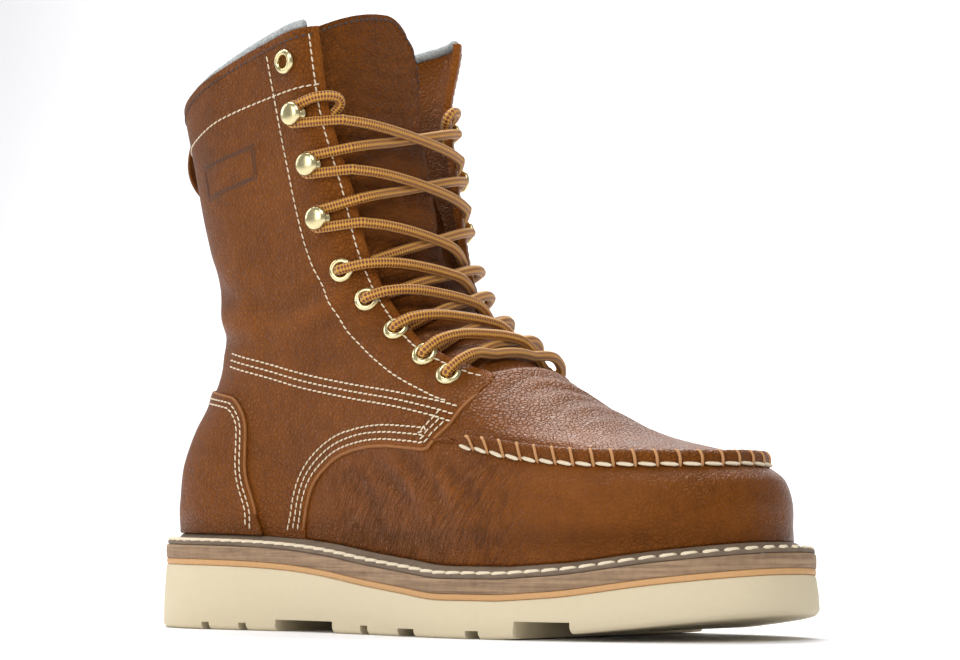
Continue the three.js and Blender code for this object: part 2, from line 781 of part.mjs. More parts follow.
// Point of the form that lies over a point between two places, seen along the throat
function overThroat(from, to, t) {
  const start = formPoint(from.section, from.turn);
  const end = formPoint(to.section, to.turn);
  const chord = start.lerp(end, t);
  const ahead = formNormal((from.section + to.section) / 2 + 1, 1);
  let near = -1;
  let far = ballWidth;
  let spot = null;
  for (let i = 0; i < 24; i++) {
    const middle = (near + far) / 2;
    const point = chord.clone().addScaledVector(ahead, middle);
    const place = placeOf(point.x);
    const rise = (point.z - featherChord(place)) / upperHeight;
    spot = locate(place, rise, point.y < 0 ? -1 : 1);
    if (Math.abs(point.y) < Math.abs(formPoint(spot.section, spot.turn).y)) {
      near = middle;
    } else {
      far = middle;
    }
  }
  return { point: chord.addScaledVector(ahead, near), normal: formNormal(spot.section, spot.turn) };
}

// Lace strand over the throat, cut short at its ends, with its height along the way
function strand(from, to, heights, cutStart = 0, cutEnd = 0) {
  const length = formPoint(from.section, from.turn).distanceTo(formPoint(to.section, to.turn));
  const centre = [];
  for (let i = 0; i <= laceSteps; i++) {
    const t = THREE.MathUtils.lerp(cutStart / length, 1 - cutEnd / length, i / laceSteps);
    const { point, normal } = overThroat(from, to, t);
    centre.push(point.addScaledVector(normal, heights(t)));
  }
  return tube(centre);
}

function tube(centre) {
  const curve = new THREE.CatmullRomCurve3(centre);
  const shape = new THREE.Shape();
  const sides = laceSides;
  for (let i = 0; i < sides; i++) {
    const angle = 2 * Math.PI * i / sides;
    const x = Math.cos(angle) * laceDiameter / 2;
    const y = Math.sin(angle) * laceDiameter / 2;
    if (i === 0) {
      shape.moveTo(x, y);
    } else {
      shape.lineTo(x, y);
    }
  }
  shape.closePath();
  return solid(new THREE.ExtrudeGeometry(shape, {
    steps: centre.length - 1, bevelEnabled: false, extrudePath: curve,
  }));
}

const laceRadius = laceDiameter / 2;
const overQuarter = quarterStep + 2 * clearance + laceRadius;
const overMetal = overQuarter + eyeletHeight + metalSeat + 3 * clearance;
const overTongue = laceRadius + 2.5 * clearance - wall;

// Lace height along a strand: high over the metal and the quarter's edge, low on the tongue
function descend(high, from, to) {
  return (t) => THREE.MathUtils.lerp(high, overTongue, THREE.MathUtils.smoothstep(t, from, to));
}

function overBar(t) {
  return descend(overMetal, 0.1, 0.42)(Math.min(t, 1 - t));
}

// Place of a fastener, moved along the side view
function beside([x, rise], side, ahead, up) {
  return locate(x + ahead / soleLength, rise + up / upperHeight, side);
}

const hookReach = hookHead + laceRadius + 3 * clearance;
const edgeReach = 14;
const hookLift = 3.2;

// Strands run from the outside of each fastener to the far side of the one below it
function makeLaces() {
  const [lowest] = eyeletRows;
  const laces = { lace_bar: strand(beside(lowest, -1, 0, 0), beside(lowest, 1, 0, 0), overBar) };
  const rows = [...eyeletRows, ...hookRows];
  for (let i = 0; i < rows.length - 1; i++) {
    const lowHook = i >= eyeletRows.length;
    const highHook = i + 1 >= eyeletRows.length;
    const fall = descend(highHook ? overQuarter : overMetal, 0.1, 0.42);
    const rise = descend(lowHook ? overQuarter : overTongue, 0.1, 0.42);
    const pair = [-1, 1].map((side) => strand(
      beside(rows[i + 1], side, 0, highHook ? -hookLift : 0),
      beside(rows[i], -side, 0, lowHook ? hookLift : 0),
      (t) => t < 0.5 ? fall(t) : rise(1 - t),
      highHook ? hookReach : 0,
      lowHook ? hookReach : edgeReach,
    ));
    laces[`lace_cross_${i + 1}`] = pair[0].add(pair[1]);
  }
  return laces;
}

// Free end of the lace: up from the top hook and over the quarter's edge
function endCord(side) {
  const top = hookRows.at(-1);
  const centre = [];
  for (let i = 0; i <= 4; i++) {
    const t = i / 4;
    const { section, turn } = beside(top, side, 1 + 7 * t, hookReach * (1 + t * 1.2));
    centre.push(skinPoint(section, turn, overQuarter));
  }
  return tube(centre);
}

// Colours and finishes
const materials = {
  leather: { color: 0x96551f, roughness: 0.6, metalness: 0 },
  leatherEdge: { color: 0x7d4519, roughness: 0.65, metalness: 0 },
  cream: { color: 0xd7c8af, roughness: 0.7, metalness: 0 },
  honey: { color: 0xb98a52, roughness: 0.7, metalness: 0 },
  midsole: { color: 0x75604b, roughness: 0.8, metalness: 0 },
  insole: { color: 0xc7a57c, roughness: 0.8, metalness: 0 },
  brass: { color: 0xcbb277, roughness: 0.3, metalness: 1 },
  lace: { color: 0xb07722, roughness: 0.7, metalness: 0 },
};

const boot = new THREE.Group();

function addPiece(name, geometry, finish) {
  const material = new THREE.MeshStandardMaterial(materials[finish]);
  const mesh = new THREE.Mesh(geometry, material);
  mesh.name = name;
  boot.add(mesh);
  return mesh;
}

addPiece("outsole", geometryOf(makeOutsole()), "cream");
addPiece("wedge_layer", geometryOf(makeLayer(wedgeTop, layerTop)), "honey");
addPiece("midsole", geometryOf(makeLayer(layerTop, midsoleTop)), "midsole");
addPiece("welt", geometryOf(makeWelt()), "midsole");
addPiece("insole", geometryOf(makeInsole()), "insole");
const { quarters, vamp } = makeUpper();
addPiece("quarters", geometryOf(quarters), "leather");
addPiece("vamp", geometryOf(vamp), "leather");
addPiece("tongue", geometryOf(makeTongue()), "leather");
addPiece("heel_counter", geometryOf(makeCounter()), "leather");
addPiece("moc_seam", geometryOf(makeMocSeam()), "leatherEdge");
addPiece("pull_loop", geometryOf(makePullLoop()), "leather");

const sides = { outer: -1, inner: 1 };
for (const [sideName, side] of Object.entries(sides)) {
  allEyelets.forEach(([x, rise], i) => {
    const eyelet = addPiece(`eyelet_${sideName}_${i + 1}`, eyeletGeometry(), "brass");
    eyelet.applyMatrix4(seat(x, rise, side, quarterStep + metalSeat));
  });
  hookRows.forEach(([x, rise], i) => {
    const hook = addPiece(`hook_${sideName}_${i + 1}`, hookGeometry(), "brass");
    hook.applyMatrix4(seat(x, rise, side, quarterStep + metalSeat));
  });
}

for (const [name, lace] of Object.entries(makeLaces())) {
  addPiece(name, geometryOf(lace), "lace");
}
addPiece("lace_end_outer", geometryOf(endCord(-1)), "lace");
addPiece("lace_end_inner", geometryOf(endCord(1)), "lace");

export default boot;
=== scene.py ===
import math

import bmesh
import bpy
import numpy as np
from mathutils import Matrix, Vector


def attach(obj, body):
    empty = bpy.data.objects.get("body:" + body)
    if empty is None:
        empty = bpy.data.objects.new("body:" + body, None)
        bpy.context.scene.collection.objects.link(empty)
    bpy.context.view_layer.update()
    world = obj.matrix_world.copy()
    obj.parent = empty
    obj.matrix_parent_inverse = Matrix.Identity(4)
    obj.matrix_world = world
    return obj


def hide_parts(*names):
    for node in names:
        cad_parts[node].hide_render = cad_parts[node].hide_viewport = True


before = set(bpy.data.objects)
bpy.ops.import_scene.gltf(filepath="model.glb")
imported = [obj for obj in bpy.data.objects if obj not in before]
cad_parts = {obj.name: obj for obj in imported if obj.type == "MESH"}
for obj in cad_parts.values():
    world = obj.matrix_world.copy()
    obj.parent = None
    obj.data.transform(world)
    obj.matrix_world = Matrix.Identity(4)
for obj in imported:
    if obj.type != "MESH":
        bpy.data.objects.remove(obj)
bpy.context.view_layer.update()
MM = 0.001

bl_info = {
    "name": "Wedge sole work boot",
    "version": (1, 0, 0),
    "blender": (4, 5, 0),
    "location": "View3D > Sidebar > Boot",
    "description": "Looks of a laced wedge sole work boot, right foot",
    "category": "Object",
}


# Driving sizes of the boot, in millimetres, and its form as the frame has it
SOLE_LENGTH = 302.0
BALL_WIDTH = 110.0
HEEL_WIDTH = 77.0
UPPER_HEIGHT = 196.0
HEEL_STACK = 25.8
BALL_STACK = 13.6
TOE_STACK = 14.4
TOE_SPRING = 9.5
SPRING_START = 0.7
LAYER = 2.0
MIDSOLE = 5.2
WELT_LIP = 4.5
UPPER_INSET = 8.0
WALL = 2.6
QUARTER_STEP = 1.2
COUNTER_STEP = QUARTER_STEP + 1.35
CLEARANCE = 0.3

SOLE_ROWS = np.array([
    [0.000, 0.481, 0.506], [0.149, 0.494, 0.506], [0.315, 0.479, 0.454], [0.464, 0.473, 0.410],
    [0.629, 0.501, 0.447], [0.728, 0.500, 0.500], [0.828, 0.464, 0.482], [1.000, 0.409, 0.464],
])
WEDGE_ROWS = np.array([
    [0.00, 1.00, 0.00, 0.00], [0.15, 0.98, 0.00, 0.00], [0.24, 0.95, 0.00, 0.00],
    [0.41, 0.77, 0.00, 0.00], [0.53, 0.30, 0.60, 0.00], [0.61, 0.00, 1.02, 0.00],
    [0.70, 0.00, 1.02, 0.00], [0.77, 0.00, 1.00, 0.00], [0.90, 0.00, 0.45, 0.58],
    [1.00, 0.00, 0.00, 1.00],
])
CHANNELS = [
    (0.142, 0.162, 3.0), (0.209, 0.229, 3.0), (0.275, 0.394, 4.5), (0.446, 0.467, 3.5),
    (0.526, 0.566, 3.0), (0.652, 0.679, 3.0), (0.728, 0.811, 4.0),
]
# Back place and rise, front place and rise, dip, bow, heel round, nose round, nose fullness
LINE_ROWS = np.array([
    [0.022, 0.000, 0.970, 0.000, 1.0, 0.000, 0.44, 0.58, 2.30],
    [0.027, 0.056, 0.971, 0.058, 0.8, 0.000, 0.44, 0.60, 2.30],
    [0.033, 0.123, 0.962, 0.109, 0.4, 0.000, 0.43, 0.57, 2.30],
    [0.055, 0.209, 0.928, 0.139, 0.0, 0.000, 0.42, 0.53, 2.25],
    [0.065, 0.235, 0.886, 0.158, 0.0, 0.000, 0.42, 0.47, 2.10],
    [0.074, 0.258, 0.795, 0.188, 0.0, 0.000, 0.42, 0.45, 2.00],
    [0.079, 0.281, 0.699, 0.249, 0.0, 0.000, 0.42, 0.45, 2.00],
    [0.088, 0.307, 0.629, 0.306, 0.0, 0.000, 0.42, 0.42, 2.00],
    [0.097, 0.342, 0.570, 0.362, 0.0, 0.000, 0.43, 0.36, 2.00],
    [0.102, 0.383, 0.503, 0.422, 0.0, 0.000, 0.43, 0.31, 2.10],
    [0.101, 0.439, 0.454, 0.503, 0.0, 0.000, 0.44, 0.25, 2.20],
    [0.091, 0.516, 0.424, 0.610, 0.0, 0.000, 0.47, 0.22, 2.40],
    [0.071, 0.618, 0.399, 0.753, 0.0, 0.005, 0.49, 0.20, 2.50],
    [0.052, 0.735, 0.379, 0.891, 0.0, 0.010, 0.52, 0.19, 2.60],
    [0.033, 0.847, 0.368, 1.013, 0.0, 0.015, 0.55, 0.18, 2.60],
    [0.021, 0.918, 0.361, 1.089, 0.0, 0.015, 0.56, 0.18, 2.60],
])
WIDTH_PLACES = [0.116, 0.298, 0.464, 0.646, 0.795, 0.993]
OUTER_ROWS = np.array([
    [0.390, 0.383, 0.389, 0.427, 0.405, 0.336], [0.416, 0.396, 0.410, 0.450, 0.427, 0.373],
    [0.416, 0.409, 0.420, 0.441, 0.409, 0.350], [0.396, 0.421, 0.426, 0.395, 0.350, 0.300],
    [0.383, 0.421, 0.420, 0.377, 0.336, 0.300], [0.377, 0.421, 0.410, 0.355, 0.327, 0.300],
    [0.370, 0.421, 0.394, 0.336, 0.318, 0.300], [0.370, 0.428, 0.383, 0.318, 0.309, 0.300],
    [0.377, 0.434, 0.378, 0.318, 0.309, 0.300], [0.390, 0.447, 0.378, 0.318, 0.309, 0.300],
    [0.403, 0.460, 0.383, 0.318, 0.309, 0.300], [0.429, 0.479, 0.399, 0.327, 0.318, 0.309],
    [0.461, 0.504, 0.415, 0.345, 0.336, 0.327], [0.481, 0.524, 0.431, 0.364, 0.355, 0.345],
    [0.500, 0.543, 0.441, 0.373, 0.364, 0.355], [0.506, 0.549, 0.447, 0.373, 0.364, 0.355],
])
INNER_ROWS = np.array([
    [0.403, 0.358, 0.326, 0.382, 0.418, 0.391], [0.422, 0.364, 0.347, 0.405, 0.441, 0.414],
    [0.416, 0.377, 0.362, 0.400, 0.423, 0.391], [0.396, 0.396, 0.378, 0.373, 0.373, 0.345],
    [0.383, 0.402, 0.378, 0.359, 0.355, 0.327], [0.377, 0.409, 0.378, 0.345, 0.336, 0.318],
    [0.370, 0.409, 0.373, 0.327, 0.318, 0.309], [0.370, 0.415, 0.368, 0.314, 0.309, 0.300],
    [0.377, 0.421, 0.368, 0.309, 0.300, 0.291], [0.390, 0.434, 0.368, 0.309, 0.300, 0.291],
    [0.403, 0.447, 0.378, 0.318, 0.309, 0.300], [0.429, 0.472, 0.394, 0.327, 0.318, 0.309],
    [0.455, 0.498, 0.410, 0.345, 0.336, 0.327], [0.474, 0.517, 0.426, 0.364, 0.355, 0.345],
    [0.494, 0.536, 0.436, 0.373, 0.364, 0.355], [0.500, 0.543, 0.441, 0.373, 0.364, 0.355],
])
HEEL_FULLNESS = 2.05
COLLAR = 14
LAST = 15

# Lines on the side of the upper: place along the sole, rise above the feather line
THROAT_LINE = [
    (0.620, 0.325), (0.583, 0.318), (0.503, 0.375), (0.447, 0.452), (0.414, 0.543),
    (0.387, 0.691), (0.361, 0.840), (0.348, 0.985), (0.340, 1.110),
]
QUARTER_LINE = [
    (0.610, 0.370), (0.605, 0.312), (0.603, 0.268), (0.589, 0.222), (0.566, 0.181),
    (0.556, 0.165), (0.525, 0.168), (0.475, 0.173), (0.430, 0.169), (0.387, 0.155),
    (0.351, 0.128), (0.327, 0.096), (0.312, 0.051), (0.306, 0.000),
]
COUNTER_LINE = [
    (0.000, 0.290), (0.060, 0.290), (0.160, 0.277), (0.187, 0.262), (0.205, 0.216),
    (0.206, 0.124), (0.217, 0.069), (0.232, 0.000),
]
SEAM_ROWS = np.array([
    [0.588, 3.60], [0.605, 3.30], [0.672, 2.85], [0.736, 2.75], [0.814, 2.80], [1.000, 3.00],
])
EYELET_ROWS = [(0.556, 0.305), (0.517, 0.345), (0.467, 0.396), (0.421, 0.458), (0.387, 0.518)]
HOOK_ROWS = [(0.361, 0.620), (0.348, 0.727), (0.328, 0.829)]
TOP_EYELET = (0.308, 0.936)


def smooth(xs, ys, x):
    """Smooth curve through rows without overshoot; ys has its rows along the last axis."""
    xs = np.asarray(xs, float)
    ys = np.asarray(ys, float)
    x = np.asarray(x, float)
    widths = np.diff(xs)
    steps = np.diff(ys, axis=-1) / widths
    before, after = steps[..., :-1], steps[..., 1:]
    agree = before * after > 0
    inner = np.where(agree, 2 * before * after / np.where(agree, before + after, 1), 0)
    slopes = np.concatenate([steps[..., :1], inner, steps[..., -1:]], axis=-1)
    i = np.clip(np.searchsorted(xs, x, side="left") - 1, 0, len(xs) - 2)
    width = widths[i]
    t = np.clip((x - xs[i]) / width, 0, 1)

    def pick(table, k):
        if table.ndim == 1:
            return table[k]
        return np.take_along_axis(table, k[..., None], axis=-1)[..., 0]

    t2, t3 = t * t, t * t * t
    return (pick(ys, i) * (2 * t3 - 3 * t2 + 1) + pick(slopes, i) * width * (t3 - 2 * t2 + t)
            + pick(ys, i + 1) * (3 * t2 - 2 * t3) + pick(slopes, i + 1) * width * (t3 - t2))


def smooth_table(table, x):
    """The same for several columns at once: table is (rows, columns), the result (..., columns)."""
    xs = np.arange(len(table), dtype=float)
    steps = np.diff(table, axis=0)
    before, after = steps[:-1], steps[1:]
    agree = before * after > 0
    inner = np.where(agree, 2 * before * after / np.where(agree, before + after, 1), 0)
    slopes = np.concatenate([steps[:1], inner, steps[-1:]])
    i = np.clip(np.searchsorted(xs, x, side="left") - 1, 0, len(xs) - 2)
    t = np.clip(x - xs[i], 0, 1)[..., None]
    t2, t3 = t * t, t * t * t
    return (table[i] * (2 * t3 - 3 * t2 + 1) + slopes[i] * (t3 - 2 * t2 + t)
            + table[i + 1] * (3 * t2 - 2 * t3) + slopes[i + 1] * (t3 - t2))


def smoothstep(low, high, x):
    """0 below low, 1 above high, and a smooth rise between them; high may be the lower one."""
    t = np.clip((np.asarray(x, float) - low) / (high - low), 0, 1)
    return t * t * (3 - 2 * t)


def round_end(distance, fullness):
    """Share of the full width at a distance from a rounded end; 1 from distance 1 on."""
    d = np.clip(distance, 0, 1)
    return (1 - (1 - d) ** fullness) ** (1 / fullness)


def width_at(place):
    """Width of the foot at a place along the sole, from the heel's to the ball's."""
    return HEEL_WIDTH + (BALL_WIDTH - HEEL_WIDTH) * smoothstep(0.25, 0.65, place)


def underside(place):
    """Height of the tread's underside, which springs up towards the toe."""
    return TOE_SPRING * (np.maximum(place - SPRING_START, 0) / (1 - SPRING_START)) ** 1.25


def wedge_top(place):
    """Height of the cream wedge's top."""
    shares = [smooth(WEDGE_ROWS[:, 0], WEDGE_ROWS[:, k], place) for k in (1, 2, 3)]
    return underside(place) + shares[0] * HEEL_STACK + shares[1] * BALL_STACK + shares[2] * TOE_STACK


def layer_top(place):
    """Height of the honey layer's top."""
    return wedge_top(place) + CLEARANCE + LAYER


def midsole_top(place):
    """Height of the midsole's top."""
    return layer_top(place) + CLEARANCE + MIDSOLE


def feather_height(place):
    """Height of the line where the upper meets the welt."""
    return midsole_top(place) + WELT_LIP


def feather_chord(place):
    """The straight line between the feather line's ends; rises are counted from it."""
    ends = feather_height(np.array([0.0, 1.0]))
    return ends[0] + (ends[1] - ends[0]) * place


def place_of(x):
    """Place along the sole of an x in millimetres: 0 at the heel, 1 at the toe."""
    return np.clip(np.asarray(x, float) / SOLE_LENGTH + 0.5, 0, 1)


def sole_edge(turn):
    """Points (x, y) on the sole's edge; turn runs from the heel over the outer side."""
    turn = np.mod(turn, 2.0)
    outer = turn <= 1
    along = np.where(outer, turn, 2 - turn)
    place = (1 - np.cos(np.pi * along)) / 2
    x = place * SOLE_LENGTH
    heel = round_end(x / (0.545 * HEEL_WIDTH), 2.2)
    toe = round_end((SOLE_LENGTH - x) / (0.655 * BALL_WIDTH), 2.3)
    share = np.where(outer, smooth(SOLE_ROWS[:, 0], SOLE_ROWS[:, 1], place),
                     smooth(SOLE_ROWS[:, 0], SOLE_ROWS[:, 2], place))
    y = share * width_at(place) * heel * toe
    return np.stack([x - SOLE_LENGTH / 2, np.where(outer, -y, y)], axis=-1)


def sole_inset_edge(turn, inset):
    """The sole's edge moved inwards by an inset in millimetres."""
    step = 0.004
    tangent = sole_edge(turn + step) - sole_edge(turn - step)
    tangent /= np.linalg.norm(tangent, axis=-1, keepdims=True)
    here = sole_edge(turn)
    inset = np.asarray(inset, float)[..., None] if np.ndim(inset) else inset
    return here + inset * np.stack([-tangent[..., 1], tangent[..., 0]], axis=-1)


def section_lines(section):
    """Side line, outer widths and inner widths of a section."""
    rows = smooth_table(np.hstack([LINE_ROWS, OUTER_ROWS, INNER_ROWS]), section)
    return rows[..., :9], rows[..., 9:15], rows[..., 15:21]


def section_height(line, place, t):
    """Height of a section's line at a place, t being its share from back to front."""
    chord = feather_chord(place)
    rise = line[..., 1] + (line[..., 3] - line[..., 1]) * t + 4 * line[..., 5] * t * (1 - t)
    return chord + line[..., 4] * (feather_height(place) - chord) + rise * UPPER_HEIGHT


def form_point(section, turn):
    """Points of the upper's form in millimetres; turn 0 is the heel, 0 to 1 the outer side."""
    section, turn = np.broadcast_arrays(np.asarray(section, float), np.asarray(turn, float))
    turn = np.mod(turn, 2.0)
    line, outer_row, inner_row = section_lines(section)
    outer = turn <= 1
    along = np.where(outer, turn, 2 - turn)
    t = (1 - np.cos(np.pi * along)) / 2
    place = line[..., 0] + (line[..., 2] - line[..., 0]) * t
    to_back = (place - line[..., 0]) * SOLE_LENGTH / (line[..., 6] * HEEL_WIDTH)
    to_front = (line[..., 2] - place) * SOLE_LENGTH / (line[..., 7] * BALL_WIDTH)
    share = smooth(WIDTH_PLACES, np.where(outer[..., None], outer_row, inner_row), place)
    y = share * width_at(place) * round_end(to_back, HEEL_FULLNESS) * round_end(to_front, line[..., 8])
    flat = np.stack([(place - 0.5) * SOLE_LENGTH, np.where(outer, -y, y)], axis=-1)
    follow = np.where(section < 1, 1 - smoothstep(0, 1, section), 0)[..., None]
    flat = flat + (sole_inset_edge(turn, UPPER_INSET) - flat) * follow
    return np.concatenate([flat, section_height(line, place_of(flat[..., 0]), t)[..., None]], axis=-1)


def unit(v):
    """Vectors at length one."""
    return v / np.maximum(np.linalg.norm(v, axis=-1, keepdims=True), 1e-9)


def form_normal(section, turn):
    """Outward normals of the form."""
    section = np.asarray(section, float)
    step = 0.01
    up = form_point(np.minimum(section + step, LAST), turn) - form_point(np.maximum(section - step, 0), turn)
    around = form_point(section, turn + step) - form_point(section, turn - step)
    return unit(np.cross(around, up))


def locate(place, rise, side):
    """(section, turn) of side-view points, on the outer side (-1) or the inner one (+1)."""
    place = np.asarray(place, float)
    rise = np.broadcast_to(np.asarray(rise, float), place.shape)
    low = np.zeros(place.shape)
    high = np.full(place.shape, float(LAST))
    for _ in range(26):
        middle = (low + high) / 2
        line = section_lines(middle)[0]
        t = (place - line[..., 0]) / (line[..., 2] - line[..., 0])
        below = section_height(line, place, t) - feather_chord(place) < rise * UPPER_HEIGHT
        low, high = np.where(below, middle, low), np.where(below, high, middle)
    line = section_lines(low)[0]
    t = np.clip((place - line[..., 0]) / (line[..., 2] - line[..., 0]), 0, 1)
    along = np.arccos(1 - 2 * t) / np.pi
    return low, np.where(np.asarray(side) < 0, along, 2 - along)

def side_view(points):
    """Side view of points in millimetres: along the sole, and above the feather line."""
    along = points[..., 0] + SOLE_LENGTH / 2
    return along, points[..., 2] - feather_chord(along / SOLE_LENGTH)


def flat_line(rows):
    """Rows of (place, rise) as side-view millimetres."""
    return np.array([(x * SOLE_LENGTH, r * UPPER_HEIGHT) for x, r in rows])


def rounded(points, per_span=8):
    """The line made smooth through its points."""
    p = np.asarray(points, float)
    padded = np.vstack([2 * p[0] - p[1], p, 2 * p[-1] - p[-2]])
    t = np.linspace(0, 1, per_span, endpoint=False)[:, None]
    parts = []
    for a, b, c, d in zip(padded[:-3], padded[1:-2], padded[2:-1], padded[3:]):
        parts.append(0.5 * (2 * b + (c - a) * t + (2 * a - 5 * b + 4 * c - d) * t ** 2
                            + (3 * b - a - 3 * c + d) * t ** 3))
    return np.vstack(parts + [p[-1:]])


def evenly(points, spacing):
    """Points at an even spacing along a line."""
    p = np.asarray(points, float)
    steps = np.linalg.norm(np.diff(p, axis=0), axis=1)
    run = np.concatenate([[0], np.cumsum(steps)])
    count = max(2, int(round(run[-1] / spacing)) + 1)
    at = np.linspace(0, run[-1], count)
    return np.stack([np.interp(at, run, p[:, k]) for k in range(p.shape[1])], axis=1)


def shifted(line, distance):
    """A flat line moved sideways, to its left when distance is over 0."""
    tangent = np.gradient(line, axis=0)
    tangent /= np.linalg.norm(tangent, axis=1, keepdims=True)
    return line + distance * np.stack([-tangent[:, 1], tangent[:, 0]], axis=1)


def line_distance(x, z, line):
    """Distance from side-view points to a line."""
    best = np.full(np.shape(x), 1e9)
    for (ax, az), (bx, bz) in zip(line[:-1], line[1:]):
        dx, dz = bx - ax, bz - az
        t = np.clip(((x - ax) * dx + (z - az) * dz) / max(dx * dx + dz * dz, 1e-9), 0, 1)
        best = np.minimum(best, (x - ax - t * dx) ** 2 + (z - az - t * dz) ** 2)
    return np.sqrt(best)


def inside(x, z, outline):
    """Signed distance to a closed outline, over 0 inside it."""
    closed = np.vstack([outline, outline[:1]])
    odd = np.zeros(np.shape(x), bool)
    for (ax, az), (bx, bz) in zip(closed[:-1], closed[1:]):
        if az == bz:
            continue
        crosses = (az > z) != (bz > z)
        odd ^= crosses & (x < ax + (z - az) * (bx - ax) / (bz - az))
    return np.where(odd, 1, -1) * line_distance(x, z, closed)


# Lines of the panels in the side view
QUARTER_EDGE = rounded(flat_line(QUARTER_LINE[2:])[::-1])
THROAT_EDGE = rounded(flat_line([(0.606, 0.322)] + THROAT_LINE[1:]))
COUNTER_EDGE = rounded(flat_line(COUNTER_LINE))


def behind(line, top=2.0):
    """Closed outline of all that lies behind a line that starts at the sole."""
    low, high, far = -40.0, top * UPPER_HEIGHT, -60.0
    return np.vstack([[line[0][0], low], line, [line[-1][0], high], [far, high], [far, low]])


FRONT_EDGE = np.vstack([QUARTER_EDGE, flat_line([(0.605, 0.300)]), THROAT_EDGE])
QUARTER_OUTLINE = behind(FRONT_EDGE)
COUNTER_OUTLINE = np.vstack([COUNTER_EDGE, [[COUNTER_EDGE[-1][0], -40], [-60, -40],
                                            [-60, COUNTER_EDGE[0][1]]]])

# Soft folds of the leather: side (0 both), depth and width in millimetres, then points of
# the side view as place and rise
FOLDS = [
    (-1, 0.9, 4.5, [(0.372, 0.500), (0.330, 0.462), (0.285, 0.448), (0.232, 0.455)]),
    (-1, 0.7, 4.0, [(0.392, 0.430), (0.350, 0.408), (0.300, 0.402)]),
    (-1, -0.8, 5.0, [(0.380, 0.468), (0.330, 0.436), (0.270, 0.428)]),
    (-1, 0.7, 4.5, [(0.420, 0.372), (0.370, 0.350), (0.310, 0.352)]),
    (-1, 0.8, 5.5, [(0.115, 0.520), (0.165, 0.478), (0.220, 0.470)]),
    (-1, -0.6, 5.5, [(0.105, 0.470), (0.160, 0.430), (0.215, 0.425)]),
    (-1, 0.7, 4.5, [(0.100, 0.430), (0.150, 0.392), (0.200, 0.392)]),
    (-1, 0.8, 3.5, [(0.395, 0.120), (0.425, 0.098), (0.450, 0.066), (0.462, 0.020)]),
    (-1, 0.9, 3.2, [(0.455, 0.140), (0.490, 0.112), (0.520, 0.076), (0.538, 0.030)]),
    (-1, 0.9, 3.0, [(0.520, 0.146), (0.552, 0.118), (0.585, 0.082), (0.604, 0.040)]),
    (-1, 0.7, 3.0, [(0.580, 0.140), (0.612, 0.112), (0.642, 0.080), (0.660, 0.045)]),
    (-1, -0.6, 4.0, [(0.490, 0.140), (0.522, 0.110), (0.552, 0.074)]),
    (-1, -0.6, 4.0, [(0.552, 0.142), (0.585, 0.112), (0.615, 0.078)]),
    (1, 0.8, 4.5, [(0.372, 0.500), (0.320, 0.462), (0.262, 0.455)]),
    (1, -0.7, 5.0, [(0.380, 0.462), (0.330, 0.430), (0.262, 0.424)]),
    (1, 0.8, 4.0, [(0.405, 0.410), (0.350, 0.388), (0.280, 0.390)]),
    (1, 0.8, 5.5, [(0.110, 0.500), (0.165, 0.462), (0.225, 0.462)]),
    (1, 0.9, 3.4, [(0.430, 0.140), (0.470, 0.110), (0.500, 0.070)]),
    (1, 0.9, 3.2, [(0.500, 0.148), (0.545, 0.112), (0.578, 0.066)]),
    (1, 0.8, 3.0, [(0.572, 0.142), (0.610, 0.108), (0.642, 0.066)]),
]
# Folds across the plug, seen from above: place, half width in millimetres, depth, width
# The inner top corner of the eyestay stands away from the tongue, by millimetres at the collar
FLARE = 6.5
PLUG_FOLDS = [
    (0.630, 30.0, 0.5, 2.6, 0.12), (0.655, 26.0, 0.6, 3.2, 0.22), (0.688, 30.0, 0.4, 3.4, -0.06),
    (0.722, 24.0, 0.3, 3.6, 0.14), (0.642, 20.0, -0.3, 3.0, 0.02),
]


def trough(distance, width):
    """Soft trough with a low ridge beside it."""
    return np.exp(-(distance / width) ** 2) - 0.35 * np.exp(-((distance - 1.7 * width) / width) ** 2)


def relief(points):
    """Height in millimetres of the folds at points of the skin."""
    x, z = side_view(points)
    y = points[..., 1]
    height = np.zeros(x.shape)
    for side, depth, width, rows in FOLDS:
        line = rounded(flat_line(rows), 4)
        d = line_distance(x, z, line)
        ends = np.minimum(*[np.hypot(x - end[0], z - end[1]) for end in (line[0], line[-1])])
        fold = depth * (0.35 + 0.65 * smoothstep(0, 14, ends)) * trough(d, width)
        height = height - np.where(y * side >= 0, fold, 0)
    throat = np.interp(z, THROAT_EDGE[:, 1], THROAT_EDGE[:, 0])
    corner = smoothstep(-34, -4, x - throat) * (1 - smoothstep(2, 6, x - throat))
    height = height + FLARE * corner * smoothstep(0.83, 1.02, z / UPPER_HEIGHT) * (y > 0)
    for place, half, depth, width, slant in PLUG_FOLDS:
        d = x - place * SOLE_LENGTH - slant * y - 0.004 * y * y
        across = 1 - smoothstep(half * 0.6, half, np.abs(y))
        on_top = smoothstep(22, 34, z)
        height = height - depth * across * on_top * trough(np.abs(d), width)
    return height


def skin(section, turn, offset):
    """Points on the leather at an offset outwards, its folds included, in millimetres."""
    base = form_point(section, turn)
    offset = np.asarray(offset, float) + relief(base)
    return base + form_normal(section, turn) * offset[..., None]


def skin_side(line, side, offset):
    """Points and normals on the skin under a side-view line in millimetres."""
    line = np.asarray(line, float)
    section, turn = locate(line[:, 0] / SOLE_LENGTH, line[:, 1] / UPPER_HEIGHT, side)
    return skin(section, turn, offset), form_normal(section, turn)


# Meshes
def finished(bm, name, material, nodes=()):
    """The mesh as a piece that rides on the boot."""
    mesh = bpy.data.meshes.new(name)
    bm.to_mesh(mesh)
    bm.free()
    piece = shown(mesh, material)
    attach(piece, "root")
    if nodes:
        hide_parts(*nodes)
    return piece


